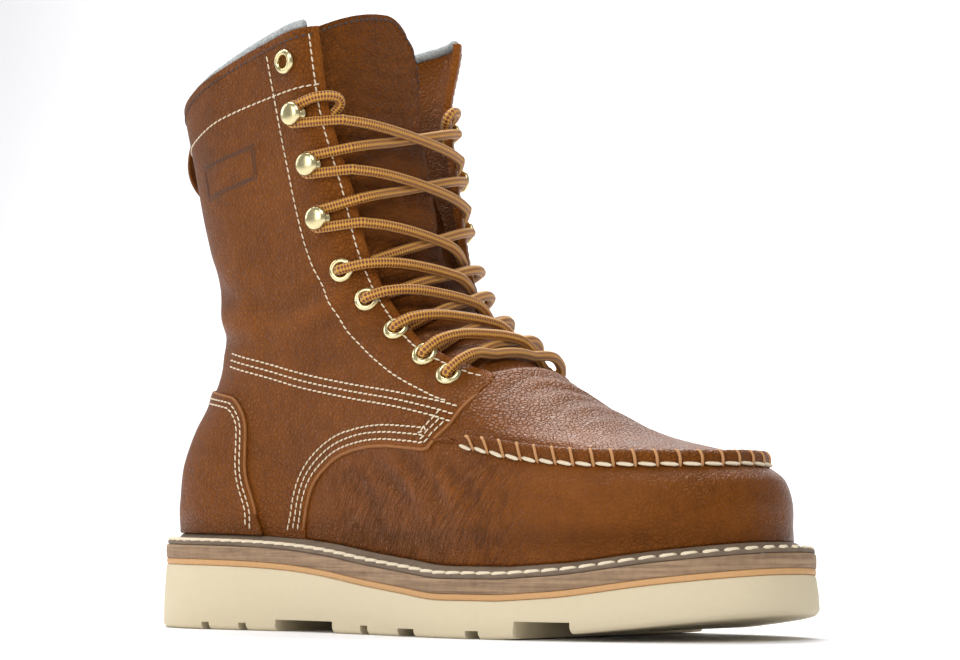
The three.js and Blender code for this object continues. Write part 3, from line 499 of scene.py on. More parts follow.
def shown(mesh, material):
    """An object in the scene with smooth faces and one material."""
    mesh.polygons.foreach_set("use_smooth", np.ones(len(mesh.polygons), bool))
    piece = bpy.data.objects.new(mesh.name, mesh)
    bpy.context.collection.objects.link(piece)
    mesh.materials.append(material)
    return piece


def add_modifier(piece, kind, **values):
    """Adds a modifier and sets its values."""
    modifier = piece.modifiers.new(kind.title(), kind)
    for key, value in values.items():
        setattr(modifier, key, value)
    return modifier


def panel(name, columns, rows, spread, place, material, keep=None, flip=False,
          nodes=(), painted_light_and_tone=None, crease=None):
    """A grid cut along keep and placed by place. spread turns the grid's own shares into the
    form's parameters; keep is over 0 on what stays."""
    bm = bmesh.new()
    for mark in ("painted_light_and_tone", "crease"):
        bm.verts.layers.float.new(mark)
    bmesh.ops.create_grid(bm, x_segments=columns, y_segments=rows, size=0.5)
    bm.verts.ensure_lookup_table()
    share = np.array([(v.co.x + 0.5, v.co.y + 0.5) for v in bm.verts])
    a, b = spread(share[:, 0], share[:, 1])
    if keep is not None:
        value = keep(a, b)
        ends = np.array([(e.verts[0].index, e.verts[1].index) for e in bm.edges])
        crossing = ends[value[ends[:, 0]] * value[ends[:, 1]] < 0]
        near = np.abs(value[crossing[:, 0]]) <= np.abs(value[crossing[:, 1]])
        mover = np.where(near, crossing[:, 0], crossing[:, 1])
        other = np.where(near, crossing[:, 1], crossing[:, 0])
        t = value[mover] / (value[mover] - value[other])
        order = np.argsort(t)[::-1]
        moved_a, moved_b = a.copy(), b.copy()
        moved_a[mover[order]] = (a[mover] + t * (a[other] - a[mover]))[order]
        moved_b[mover[order]] = (b[mover] + t * (b[other] - b[mover]))[order]
        a, b = moved_a, moved_b
        edge_verts = set(mover.tolist())
        value[mover] = 0
        bmesh.ops.connect_verts(bm, verts=[bm.verts[i] for i in edge_verts])
        bm.verts.ensure_lookup_table()
        gone = [bm.verts[i] for i in np.nonzero(value < 0)[0]]
    positions = place(a, b) * MM
    for v, p in zip(bm.verts, positions):
        v.co = p
    for mark, made in (("painted_light_and_tone", painted_light_and_tone), ("crease", crease)):
        if made is not None:
            layer = bm.verts.layers.float[mark]
            for v, value_here in zip(bm.verts, made(a, b)):
                v[layer] = value_here
    if keep is not None:
        bmesh.ops.delete(bm, geom=gone, context="VERTS")
    if flip:
        bmesh.ops.reverse_faces(bm, faces=bm.faces)
    return finished(bm, name, material, nodes=nodes)


def frames_along(path):
    """Tangent and two cross directions at each point of a path, turning as little as they can."""
    tangent = unit(np.gradient(path, axis=0))
    side = np.empty_like(path)
    first = np.array([0.0, 0.0, 1.0])
    if abs(first @ tangent[0]) > 0.95:
        first = np.array([0.0, 1.0, 0.0])
    side[0] = unit(first - tangent[0] * (first @ tangent[0]))
    for i in range(1, len(path)):
        here = side[i - 1] - tangent[i] * (side[i - 1] @ tangent[i])
        side[i] = unit(here)
    return tangent, side, np.cross(tangent, side)


# Share of a cord's radius at its two ends
END_TAPER = 0.6


def tube(name, paths, radius, material, sides=10, nodes=()):
    """Round cords along paths in millimetres, with their length and turn as UV."""
    bm = bmesh.new()
    uv = bm.loops.layers.uv.new("run")
    for path in paths:
        path = np.asarray(path, float)
        _, one, two = frames_along(path)
        run = np.concatenate([[0], np.cumsum(np.linalg.norm(np.diff(path, axis=0), axis=1))])
        width = np.full(len(path), float(radius))
        width[[0, -1]] *= END_TAPER
        angle = np.linspace(0, 2 * np.pi, sides, endpoint=False)
        ring = (path[:, None] + (width[:, None] * np.cos(angle))[..., None] * one[:, None]
                + (width[:, None] * np.sin(angle))[..., None] * two[:, None]) * MM
        verts = [[bm.verts.new(p) for p in row] for row in ring]
        for i in range(len(path) - 1):
            for k in range(sides):
                m = (k + 1) % sides
                face = bm.faces.new((verts[i][k], verts[i][m], verts[i + 1][m], verts[i + 1][k]))
                for loop, (r, s) in zip(face.loops, ((i, k), (i, k + 1), (i + 1, k + 1), (i + 1, k))):
                    loop[uv].uv = (run[r], s / sides)
        bm.faces.new(verts[0][::-1])
        bm.faces.new(verts[-1])
    bmesh.ops.recalc_face_normals(bm, faces=bm.faces)
    return finished(bm, name, material, nodes=nodes)


def with_rim(piece, thickness, width=0.0005, segments=2):
    """Gives a sheet of leather its thickness inwards, and rounds its cut edge; in metres."""
    add_modifier(piece, "SOLIDIFY", thickness=thickness, offset=-1.0)
    add_modifier(piece, "BEVEL", width=width, segments=segments, limit_method="ANGLE",
                 angle_limit=math.radians(60))


def capsule():
    """Points and faces of one stitch, one unit long, wide and high."""
    bm = bmesh.new()
    bmesh.ops.create_uvsphere(bm, u_segments=6, v_segments=5, radius=0.5,
                              matrix=Matrix.Rotation(math.pi / 2, 4, "Y"))
    points = np.array([v.co[:] for v in bm.verts])
    points[:, 0] = np.sign(points[:, 0]) * np.abs(points[:, 0] * 2) ** 0.6 / 2
    faces = [[v.index for v in f.verts] for f in bm.faces]
    bm.free()
    return points, faces


STITCH = capsule()


def stitches(name, runs, material):
    """Stitches as one piece. Each run is points, normals, length, width, height and slant."""
    shape, shape_faces = STITCH
    blocks, faces = [], []
    for path, normals, length, width, height, slant in runs:
        tangent = unit(np.gradient(path, axis=0))
        across = unit(np.cross(normals, tangent))
        turn = math.radians(slant)
        tangent, across = (tangent * math.cos(turn) + across * math.sin(turn),
                           across * math.cos(turn) - tangent * math.sin(turn))
        normal = np.cross(tangent, across)
        local = shape * [length, width, height]
        block = (path[:, None] + local[None, :, :1] * tangent[:, None] + local[None, :, 1:2] * across[:, None]
                 + local[None, :, 2:] * normal[:, None]) * MM
        start = sum(len(b) for b in blocks)
        blocks.append(block.reshape(-1, 3))
        for k in range(len(path)):
            first = start + k * len(shape)
            faces.extend([first + i for i in face] for face in shape_faces)
    mesh = bpy.data.meshes.new(name)
    mesh.from_pydata(np.vstack(blocks).tolist(), [], faces)
    piece = shown(mesh, material)
    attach(piece, "root")


def side_run(line, side, offset, pitch, length, width=0.7, height=0.6):
    """A run of stitches along a side-view line."""
    points, normals = skin_side(evenly(line, 1.0), side, offset)
    return stitch_run(points, normals, pitch, length, width, height)


def stitch_run(points, normals, pitch, length, width=0.7, height=0.6):
    """A run of stitches at an even pitch along points of the skin."""
    joined = evenly(np.hstack([points, normals]), 1.0)
    steps = np.linalg.norm(np.diff(joined[:, :3], axis=0), axis=1)
    run = np.concatenate([[0], np.cumsum(steps)])
    at = np.arange(pitch / 2, run[-1], pitch)
    even = np.stack([np.interp(at, run, joined[:, k]) for k in range(6)], axis=1)
    return even[:, :3], unit(even[:, 3:]), length, width, height, 6.0


# Materials
def sheen(value):
    """A grey level as a linear colour."""
    return (value, value, value, 1)


class Nodes:
    """A short way to write a node tree."""

    def __init__(self, name):
        self.material = bpy.data.materials.new(name)
        self.material.use_nodes = True
        self.tree = self.material.node_tree
        self.tree.nodes.clear()
        self.out = self.tree.nodes.new("ShaderNodeOutputMaterial")
        self.shader = self.tree.nodes.new("ShaderNodeBsdfPrincipled")
        self.tree.links.new(self.shader.outputs[0], self.out.inputs[0])

    def add(self, kind, links=None, **values):
        """A new node with its values set and its inputs filled."""
        node = self.tree.nodes.new("ShaderNode" + kind)
        for key, value in values.items():
            setattr(node, key, value)
        for key, value in (links or {}).items():
            self.put(node.inputs[key], value)
        return node

    def put(self, socket, value):
        """Fills an input with a node, an output or a constant."""
        if isinstance(value, bpy.types.NodeSocket):
            self.tree.links.new(value, socket)
        elif isinstance(value, bpy.types.Node):
            self.tree.links.new(value.outputs[0], socket)
        else:
            socket.default_value = value

    def set(self, **values):
        """Fills inputs of the surface shader; an underscore stands for a space."""
        for key, value in values.items():
            self.put(self.shader.inputs[key.replace("_", " ")], value)

    def math(self, operation, a, b=0.0, clamp=False):
        """A math node over one or two values."""
        return self.add("Math", {0: a, 1: b}, operation=operation, use_clamp=clamp)

    def ramp(self, value, stops):
        """A colour ramp of (place, colour) stops."""
        node = self.add("ValToRGB", {0: value})
        elements = node.color_ramp.elements
        while len(elements) < len(stops):
            elements.new(0.5)
        for element, (place, colour) in zip(elements, stops):
            element.position = place
            element.color = colour if len(colour) == 4 else (*colour, 1)
        return node

    def mix(self, factor, a, b):
        """A blend from colour a to colour b."""
        node = self.add("Mix", data_type="RGBA")
        self.put(node.inputs["Factor"], factor)
        colour_inputs = [s for s in node.inputs if s.type == "RGBA"]
        self.put(colour_inputs[0], a)
        self.put(colour_inputs[1], b)
        return next(s for s in node.outputs if s.type == "RGBA")

    def place(self):
        """The point's own coordinates on the object."""
        return self.add("TexCoord").outputs["Object"]


def linear(*rgb):
    """An sRGB colour of 0 to 255 as the linear colour that Blender takes."""
    return tuple(((v / 255) / 12.92 if v <= 10 else ((v / 255 + 0.055) / 1.055) ** 2.4) for v in rgb)


# Highlights on oiled leather take up some of its warm colour
LEATHER_SHINE = (1.0, 0.52, 0.28, 1)


def leather_material(name, dark, middle, light, pebble=1.0, gloss=0.42):
    """Pebbled full grain leather: raised cells with dark valleys, fine creases where the
    crease attribute asks for them, with painted shade in their lines, and darker or lighter
    places from a vertex attribute: painted shade and painted highlights, together with the
    leather's real burnish and lighter raw edge."""
    n = Nodes(name)
    here = n.place()
    warp = n.add("TexNoise", {"Vector": here, "Scale": 230.0, "Detail": 2.0})
    push = n.add("VectorMath", {0: warp.outputs["Color"]}, operation="SCALE")
    push.inputs["Scale"].default_value = 0.0022
    moved = n.add("VectorMath", {0: here, 1: push}, operation="ADD")
    cells = n.add("TexVoronoi", {"Vector": moved, "Scale": 560.0}, feature="DISTANCE_TO_EDGE")
    lumps = n.add("TexVoronoi", {"Vector": moved, "Scale": 300.0}, feature="SMOOTH_F1")
    fine = n.add("TexNoise", {"Vector": here, "Scale": 1900.0, "Detail": 3.0, "Roughness": 0.6})
    broad = n.add("TexNoise", {"Vector": here, "Scale": 22.0, "Detail": 3.0, "Roughness": 0.55})
    patch = n.add("TexNoise", {"Vector": here, "Scale": 150.0, "Detail": 4.0, "Roughness": 0.65})
    valley = n.ramp(cells.outputs["Distance"], [(0.0, sheen(0)), (0.10, sheen(0.6)), (0.34, sheen(1))])
    # Creases: thin valleys of a noise that is stretched along a slant
    turned = n.add("VectorRotate", {"Vector": here}, rotation_type="Y_AXIS")
    turned.inputs["Angle"].default_value = math.radians(-33)
    stretched = n.add("VectorMath", {0: turned, 1: (760.0, 130.0, 75.0)}, operation="MULTIPLY")
    lines = n.add("TexNoise", {"Vector": stretched, "Scale": 1.0, "Detail": 2.0, "Roughness": 0.5})
    near = n.math("ABSOLUTE", n.math("SUBTRACT", lines, 0.5))
    crease = n.ramp(near, [(0.0, sheen(1)), (0.022, sheen(0.3)), (0.06, sheen(0))])
    asked = n.add("Attribute", attribute_name="crease").outputs["Fac"]
    crease = n.math("MULTIPLY", crease, asked)
    blend = n.math("ADD", n.math("MULTIPLY", broad, 0.5),
                   n.math("MULTIPLY", patch, 0.5))
    mottle = n.ramp(blend, [(0.32, (*dark, 1)), (0.50, (*middle, 1)), (0.70, (*light, 1))])
    deep = (*[c * 0.35 for c in dark], 1)
    low = n.math("MULTIPLY", n.math("SUBTRACT", 1.0, valley), 0.34 * pebble)
    colour = n.mix(low, mottle, deep)
    # Painted shade: the crease lines are darkened in colour as well as sunk in the bump.
    colour = n.mix(n.math("MULTIPLY", crease, 0.5), colour, deep)
    # Painted shade and painted highlights: the vertex attribute darkens towards near black brown in folds, at
    # the welt, by the moc seam and in the tongue's ripples, and lightens towards pale tan on ridges; it also
    # carries the toe's real burnish and the lighter raw edge.
    painted_light_and_tone = n.add("Attribute", attribute_name="painted_light_and_tone").outputs["Fac"]
    colour = n.mix(n.math("MULTIPLY", painted_light_and_tone, -1.0, True), colour, (*[c * 0.22 for c in dark], 1))
    bright = (*[min(1, c * 1.5) for c in light], 1)
    colour = n.mix(n.math("MULTIPLY", painted_light_and_tone, 1.0, True), colour, bright)
    rough = n.math("MULTIPLY_ADD", patch, 0.22)
    rough.inputs[2].default_value = gloss - 0.11
    n.set(Base_Color=colour, Roughness=rough, Specular_IOR_Level=0.32,
          Specular_Tint=LEATHER_SHINE)
    height = n.math("MULTIPLY", valley, 0.8 * pebble)
    lumps = n.math("MULTIPLY", lumps, 0.9 * pebble)
    height = n.math("SUBTRACT", height, lumps)
    height = n.math("ADD", height, n.math("MULTIPLY", fine, 0.22))
    height = n.math("SUBTRACT", height, n.math("MULTIPLY", crease, 1.2))
    bump = n.add("Bump", {"Height": height, "Strength": 0.9, "Distance": 0.00042})
    n.set(Normal=bump)
    return n.material


def plain_material(name, colour, rough=0.6, metal=0.0, bump=0.0, scale=600.0, spread=0.1, coat=0.0):
    """One colour with a little noise in it and in its height."""
    n = Nodes(name)
    noise = n.add("TexNoise", {"Vector": n.place(), "Scale": scale, "Detail": 3.0})
    low = (*[c * (1 - spread) for c in colour], 1)
    high = (*[min(1, c * (1 + spread)) for c in colour], 1)
    n.set(Base_Color=n.mix(noise, low, high), Roughness=rough, Metallic=metal,
          Coat_Weight=coat)
    if bump:
        made = n.add("Bump", {"Height": noise})
        made.inputs["Strength"].default_value = 0.6
        made.inputs["Distance"].default_value = bump
        n.set(Normal=made)
    return n.material


def streaked_material(name, dark, light, rough=0.7, along=30.0, across=900.0, bump=0.00015):
    """Stacked fibre, as on the cut edge of a leather midsole: long streaks round the sole."""
    n = Nodes(name)
    stretch = n.add("Mapping", {"Vector": n.place(), "Scale": (along, along, across)})
    noise = n.add("TexNoise", {"Vector": stretch, "Scale": 1.0, "Detail": 4.0, "Roughness": 0.65})
    spots = n.add("TexNoise", {"Vector": n.place(), "Scale": 320.0, "Detail": 3.0})
    blend = n.math("ADD", n.math("MULTIPLY", noise, 0.75),
                   n.math("MULTIPLY", spots, 0.25))
    n.set(Base_Color=n.ramp(blend, [(0.32, (*dark, 1)), (0.68, (*light, 1))]),
          Roughness=rough)
    made = n.add("Bump", {"Height": blend})
    made.inputs["Strength"].default_value = 0.7
    made.inputs["Distance"].default_value = bump
    n.set(Normal=made)
    return n.material


def lace_material(name, gold, brown):
    """Round braid of gold and brown yarn; its UV runs in millimetres along the lace."""
    n = Nodes(name)
    parts = n.add("SeparateXYZ", {0: n.add("UVMap", uv_map="run")})
    length, turn = parts.outputs[0], parts.outputs[1]
    waves = []
    for way in (1.0, -1.0):
        phase = n.math("ADD", n.math("MULTIPLY", length, 0.44),
                       n.math("MULTIPLY", turn, 3.0 * way))
        waves.append(n.math("SINE", n.math("MULTIPLY", phase, 2 * math.pi)))
    both = n.math("MULTIPLY", waves[0], waves[1])
    share = n.math("MULTIPLY_ADD", both, 0.5)
    share.inputs[2].default_value = 0.5
    fleck = n.ramp(share, [(0.40, sheen(0)), (0.52, sheen(1))])
    n.set(Base_Color=n.mix(fleck, (*brown, 1), (*gold, 1)), Roughness=0.55, Sheen_Weight=0.15)
    bump = n.add("Bump", {"Height": share, "Strength": 0.8, "Distance": 0.0005})
    n.set(Normal=bump)
    return n.material


def metal_material(name, colour):
    """Bright metal, unevenly polished."""
    n = Nodes(name)
    noise = n.add("TexNoise", {"Vector": n.place(), "Scale": 900.0, "Detail": 2.0})
    rough = n.math("MULTIPLY_ADD", noise, 0.14)
    rough.inputs[2].default_value = 0.16
    n.set(Base_Color=(*colour, 1), Metallic=1.0, Roughness=rough)
    return n.material


def fabric_material(name, dark, light):
    """Woven lining."""
    n = Nodes(name)
    weave = n.add("TexVoronoi", {"Vector": n.place(), "Scale": 1100.0})
    noise = n.add("TexNoise", {"Vector": n.place(), "Scale": 240.0, "Detail": 4.0})
    blend = n.math("ADD", n.math("MULTIPLY", weave, 0.5),
                   n.math("MULTIPLY", noise, 0.5))
    n.set(Base_Color=n.ramp(blend, [(0.25, (*dark, 1)), (0.7, (*light, 1))]),
          Roughness=0.9)
    made = n.add("Bump", {"Height": weave})
    made.inputs["Strength"].default_value = 0.5
    made.inputs["Distance"].default_value = 0.0003
    n.set(Normal=made)
    return n.material


MATERIALS = {}


def material(name):
    """The finish of that name."""
    return MATERIALS[name]


def make_materials(p):
    """All the finishes, from the colours of the settings."""
    tan = tuple(p.leather_colour)
    dark = tuple(c * 0.66 for c in tan)
    light = (min(1, tan[0] * 1.28), min(1, tan[1] * 1.34), min(1, tan[2] * 1.4))
    MATERIALS.update(
        leather=leather_material("Leather", dark, tan, light),
        toe_leather=leather_material("Toe leather", dark, tan, light, pebble=0.6, gloss=0.35),
        edge=plain_material("Raw leather edge", linear(142, 88, 36), 0.7, bump=0.0002, spread=0.3),
        seam_thread=plain_material("Seam thread", linear(186, 134, 84), 0.7, bump=0.0001, scale=1500.0),
        thread=plain_material("Thread", tuple(p.thread_colour), 0.75, bump=0.0001, scale=1500.0),
        groove=plain_material("Pressed groove", tuple(c * 0.55 for c in dark), 0.6),
        dark_thread=plain_material("Dark thread", linear(66, 62, 64), 0.8),
        lining=fabric_material("Lining", linear(128, 132, 132), linear(182, 186, 184)),
        sole=plain_material("Sole rubber", tuple(p.sole_colour), 0.62, bump=0.0001, scale=420.0, spread=0.03),
        honey=plain_material("Honey layer", linear(196, 150, 98), 0.6, spread=0.08),
        midsole=streaked_material("Midsole", linear(112, 86, 64), linear(168, 138, 106)),
        welt=streaked_material("Welt", linear(92, 76, 60), linear(122, 104, 84), along=60.0, across=500.0),
        insole=plain_material("Insole", linear(176, 140, 104), 0.8, bump=0.0001),
        brass=metal_material("Brass", tuple(p.metal_colour)),
        lace=lace_material("Lace", tuple(p.lace_colour), linear(112, 52, 20)),
        floor=plain_material("Floor", linear(238, 238, 240), 0.7, spread=0.0),
    )


# Pieces of the sole
def ring_grid(name, profile, finish, nodes, caps=True, steps=320):
    """Closed ring round the sole through (inset, height curve) pairs, from the bottom up."""
    bm = bmesh.new()
    turn = 2 * np.arange(steps) / steps
    rings = []
    for inset, height in profile:
        flat = sole_inset_edge(turn, inset)
        z = height(place_of(flat[:, 0]))
        rings.append([bm.verts.new(p) for p in np.column_stack([flat, z]) * MM])
    for low, high in zip(rings[:-1], rings[1:]):
        for i in range(steps):
            k = (i + 1) % steps
            bm.faces.new((low[i], low[k], high[k], high[i]))
    if caps:
        half = steps // 2
        for ring, up in ((rings[0], False), (rings[-1], True)):
            for i in range(half):
                quad = [ring[i], ring[i + 1], ring[(steps - i - 1) % steps], ring[(steps - i) % steps]]
                quad = list(dict.fromkeys(quad))
                if len(quad) > 2:
                    bm.faces.new(quad if up else quad[::-1])
    return finished(bm, name, material(finish), nodes=nodes)


def over(height, extra):
    """A height curve moved up by a distance in millimetres."""
    return lambda place: height(place) + extra


def block_cut(bm, low_x, high_x, half_width, roof, slope=0.0):
    """Adds a block that cuts a channel across the tread, its walls leaning by slope."""
    for v in bmesh.ops.create_cube(bm, size=1.0)["verts"]:
        lean = slope if v.co.z < 0 else -slope
        x = high_x + lean if v.co.x > 0 else low_x - lean
        v.co = Vector((x, v.co.y * 2 * half_width, roof if v.co.z > 0 else -BELOW_FLOOR)) * MM


# How far the blocks reach down, the sipes' first and last place, pitch, half size and depth
BELOW_FLOOR = 20.0
SIPES = (0.29, 0.97, 0.034)
SIPE_HALF = (0.8, 30.0)
SIPE_DEPTH = 1.1
CHANNEL_HALF = 100.0
CHANNEL_GAP = 0.012
# Welt stitches: place along the boot and pitch, inset from the edge and height over the midsole
WELT_PITCH = [(-151, 5.6), (-60, 5.8), (0, 7.4), (151, 7.6)]
WELT_INSET = 2.1
WELT_RISE = 1.95


def make_sole(p):
    """The wedge with its tread, the layers over it and the stitched welt."""
    sole = ring_grid("Outsole", [
        (1.0, underside), (0.3, over(underside, 0.15)), (-0.6, over(underside, 0.9)),
        (-1.15, over(underside, 2.0)), (-0.9, lambda q: underside(q) * 0.5 + wedge_top(q) * 0.5),
        (0.0, over(wedge_top, -1.0)), (0.35, over(wedge_top, -0.25)), (0.8, wedge_top),
    ], "sole", nodes=["outsole"])
    cutter = bmesh.new()
    for start, end, depth in CHANNELS:
        roof = float(np.max(underside(np.array([start, end])))) + depth
        block_cut(cutter, (start - 0.5) * SOLE_LENGTH, (end - 0.5) * SOLE_LENGTH, CHANNEL_HALF, roof, 1.0)
    for share in np.arange(*SIPES):
        if any(start - CHANNEL_GAP < share < end + CHANNEL_GAP for start, end, _ in CHANNELS):
            continue
        x = (share - 0.5) * SOLE_LENGTH
        roof = float(underside(np.array([share]))[0]) + SIPE_DEPTH
        block_cut(cutter, x - SIPE_HALF[0], x + SIPE_HALF[0], SIPE_HALF[1], roof)
    mesh = bpy.data.meshes.new("cut")
    cutter.to_mesh(mesh)
    cutter.free()
    tool = bpy.data.objects.new("cut", mesh)
    bpy.context.collection.objects.link(tool)
    cut = add_modifier(sole, "BOOLEAN", object=tool, operation="DIFFERENCE", solver="EXACT")
    bpy.context.view_layer.objects.active = sole
    bpy.ops.object.modifier_apply(modifier=cut.name)
    bpy.data.objects.remove(tool)
    bpy.data.meshes.remove(mesh)
    add_modifier(sole, "BEVEL", width=0.0005, segments=2, limit_method="ANGLE", angle_limit=math.radians(50))
    ring_grid("Honey_layer", [
        (1.5, over(wedge_top, 0.05)), (0.35, over(wedge_top, 0.1)), (0.15, over(wedge_top, 0.5)),
        (0.15, over(layer_top, -0.4)), (0.35, over(layer_top, -0.05)), (1.5, layer_top),
    ], "honey", nodes=["wedge_layer"])
    ring_grid("Midsole", [
        (2.0, over(layer_top, 0.0)), (0.4, over(layer_top, 0.05)), (0.0, over(layer_top, 0.5)),
        (-0.1, over(layer_top, 2.8)), (0.0, over(midsole_top, -0.7)), (0.3, over(midsole_top, -0.15)),
        (1.0, midsole_top),
    ], "midsole", nodes=["midsole"])
    ring_grid("Welt", [
        (1.0, over(midsole_top, 0.05)), (0.55, over(midsole_top, 0.3)), (0.5, over(midsole_top, 1.2)),
        (0.9, over(midsole_top, 1.75)), (2.0, over(midsole_top, 1.9)), (3.3, over(midsole_top, 1.75)),
        (4.4, over(midsole_top, 2.0)), (5.6, over(midsole_top, 3.1)), (6.6, over(midsole_top, 4.2)),
        (7.4, over(midsole_top, 4.5)), (8.4, over(midsole_top, 4.3)), (9.0, over(midsole_top, 2.5)),
    ], "welt", nodes=["welt"], caps=False)
    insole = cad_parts["insole"]
    insole.data.materials.clear()
    insole.data.materials.append(material("insole"))
    turn = np.linspace(0, 2, 1201)
    flat = sole_inset_edge(turn, WELT_INSET)
    path = np.column_stack([flat, midsole_top(place_of(flat[:, 0])) + WELT_RISE])
    run = np.concatenate([[0], np.cumsum(np.linalg.norm(np.diff(path, axis=0), axis=1))])
    at = [0.0]
    while at[-1] < run[-1] - 4:
        x = np.interp(at[-1], run, path[:, 0])
        at.append(at[-1] + float(np.interp(x, *zip(*WELT_PITCH))))
    even = np.stack([np.interp(at[:-1], run, path[:, k]) for k in range(3)], axis=1)
    up = np.tile([0.0, 0.0, 1.0], (len(even), 1))
    stitches("Welt_stitches", [(even, up, 6.6, 2.5, 2.1, 14.0)], material("thread"))


# Leather pieces
SECTION_RUN = np.concatenate([[0], np.cumsum([11, 13, 17, 6, 6, 6, 7, 9, 10, 12, 15, 20, 24, 22, 14])])


def section_of(share, low, high):
    """Sections at an even spacing up the heel, for shares from 0 to 1 between two sections."""
    numbers = np.arange(len(SECTION_RUN))
    first, last = np.interp(low, numbers, SECTION_RUN), np.interp(high, numbers, SECTION_RUN)
    return np.interp(first + (last - first) * share, SECTION_RUN, numbers)


def painted_light_at(section, turn, extra=0.0):
    """Painted shade in folds and along the foot of the upper at the welt, and painted highlights on ridges,
    plus an extra shift of colour from the caller.
    """
    base = form_point(section, turn)
    # Painted shade along the foot of the upper, where it meets the welt.
    welt_shade = -0.30 * np.exp(-(side_view(base)[1] / 5.0) ** 2)
    return np.clip(relief(base) * 0.22, -0.4, 0.25) + welt_shade + extra


def quarter_keep(section, turn):
    """Distance in millimetres inside the quarters' outline."""
    return inside(*side_view(form_point(section, turn)), QUARTER_OUTLINE)


def seam_section(turn):
    """Section of the moc seam at a turn."""
    along = np.abs(np.mod(np.asarray(turn) + 1, 2) - 1)
    return smooth(SEAM_ROWS[:, 0], SEAM_ROWS[:, 1], along)


# Share of the way round that each panel spans, and the sections where two of them end
QUARTER_TURN = 1.70
COUNTER_TURN = 0.84
COUNTER_TOP = 8.0
VAMP_TURN = 1.40
PLUG_TURN = 0.96
PLUG_TOP = 7.6
# Place along the sole where the plug starts, under the quarters' front edge
PLUG_START = 0.612
# Leather's thickness in metres
QUARTER_THICK = 0.0030
COUNTER_THICK = 0.0014
LEATHER_THICK = 0.0018
# Width in millimetres of the leather facing along the throat, where the lining stops
FACING = 22.0


def seam_or_start(turn):
    """Section of the moc seam, and behind its ends the section that it starts from."""
    along = np.abs(np.mod(turn + 1, 2) - 1)
    return np.where(along < SEAM_ROWS[0, 0], SEAM_ROWS[0, 1], seam_section(turn))


def make_upper(p):
    """Quarters, heel counter, vamp, plug, lining and the padded roll of the collar."""
    leather = material("leather")

    def quarter_spread(a, b):
        return section_of(b, 0.0, COLLAR), (a - 0.5) * QUARTER_TURN

    def quarter_place(section, turn):
        from_edge = np.maximum(quarter_keep(section, turn), 0)
        return skin(section, turn, QUARTER_STEP - 0.6 * np.exp(-(from_edge / 0.9) ** 2))

    def quarter_tone(section, turn):
        from_edge = quarter_keep(section, turn)
        return painted_light_at(section, turn, 0.34 * np.exp(-((from_edge - 0.9) / 1.3) ** 2))

    quarter = panel("Quarters", 250, 110, quarter_spread, quarter_place, leather,
                    keep=quarter_keep, nodes=["quarters"], painted_light_and_tone=quarter_tone)
    with_rim(quarter, QUARTER_THICK)

    def counter_keep(section, turn):
        return inside(*side_view(form_point(section, turn)), COUNTER_OUTLINE)

    def counter_spread(a, b):
        return section_of(b, 0.0, COUNTER_TOP), (a - 0.5) * COUNTER_TURN

    def counter_place(section, turn):
        return skin(section, turn, COUNTER_STEP)

    counter = panel("Heel_counter", 110, 54, counter_spread, counter_place, leather,
                    keep=counter_keep, nodes=["heel_counter"], painted_light_and_tone=painted_light_at)
    with_rim(counter, COUNTER_THICK)

    def vamp_spread(a, b):
        turn = 1 + (a - 0.5) * VAMP_TURN
        return section_of(b, 0.0, seam_or_start(turn)), turn

    def vamp_place(section, turn):
        return skin(section, turn, 0.0)

    def vamp_tone(section, turn):
        base = form_point(section, turn)
        burnish = -0.12 * smoothstep(88, 128, base[..., 0]) * smoothstep(0, 12, side_view(base)[1])
        return painted_light_at(section, turn, burnish)

    def vamp_crease(section, turn):
        base = form_point(section, turn)
        along, z = side_view(base)
        low = 1 - smoothstep(22, 34, z)
        return low * smoothstep(95, 125, along) * (1 - smoothstep(200, 235, along)) * 0.7

    vamp = panel("Vamp", 320, 34, vamp_spread, vamp_place, material("toe_leather"),
                 nodes=["vamp"], painted_light_and_tone=vamp_tone, crease=vamp_crease)
    add_modifier(vamp, "SOLIDIFY", thickness=LEATHER_THICK, offset=-1.0)

    def plug_spread(a, b):
        turn = 1 + (a - 0.5) * PLUG_TURN
        low = seam_or_start(turn)
        return low + (PLUG_TOP - low) * b, turn

    def plug_keep(section, turn):
        base = form_point(section, turn)
        x, z = side_view(base)
        under_quarter = 12 * smoothstep(0.33, 0.28, z / UPPER_HEIGHT)
        return x - PLUG_START * SOLE_LENGTH + 0.0035 * base[..., 1] ** 2 + under_quarter

    def plug_place(section, turn):
        seam_away = np.abs(section - seam_section(turn))
        roll = 0.9 * np.exp(-(seam_away / 0.25) ** 2)
        return skin(section, turn, 0.35 + roll)

    plug = panel("Plug", 170, 60, plug_spread, plug_place, leather, keep=plug_keep,
                 painted_light_and_tone=painted_light_at)
    add_modifier(plug, "SOLIDIFY", thickness=LEATHER_THICK, offset=-1.0)

    def lining_spread(a, b):
        return section_of(b, 0.2, COLLAR - 0.05), (a - 0.5) * QUARTER_TURN

    def lining_place(section, turn):
        return skin(section, turn, -WALL + 0.2)

    panel("Lining", 150, 60, lining_spread, lining_place, material("lining"),
          keep=lambda s, t: quarter_keep(s, t) - FACING, flip=True)

    turns = np.linspace(-0.80, 0.80, 181)
    x, z = side_view(form_point(COLLAR, turns))
    turns = turns[inside(x, z, QUARTER_OUTLINE) > 0.8]
    rise = 1.0 + 2.2 * smoothstep(-120, -60, form_point(COLLAR, turns)[:, 0])
    roll = skin(np.full(len(turns), 13.98), turns, -1.3) + np.outer(rise - 1.2, [0, 0, 1])
    tube("Collar_roll", [roll], 2.1, material("lining"), sides=12)


# Corners of the empty pressed frame below the collar, and the shares of its inner line
PATCH_CORNERS = [(0.135, 0.742), (0.243, 0.779), (0.246, 0.712), (0.144, 0.675), (0.135, 0.742)]
PATCH_INNER = [0.93, 0.86]


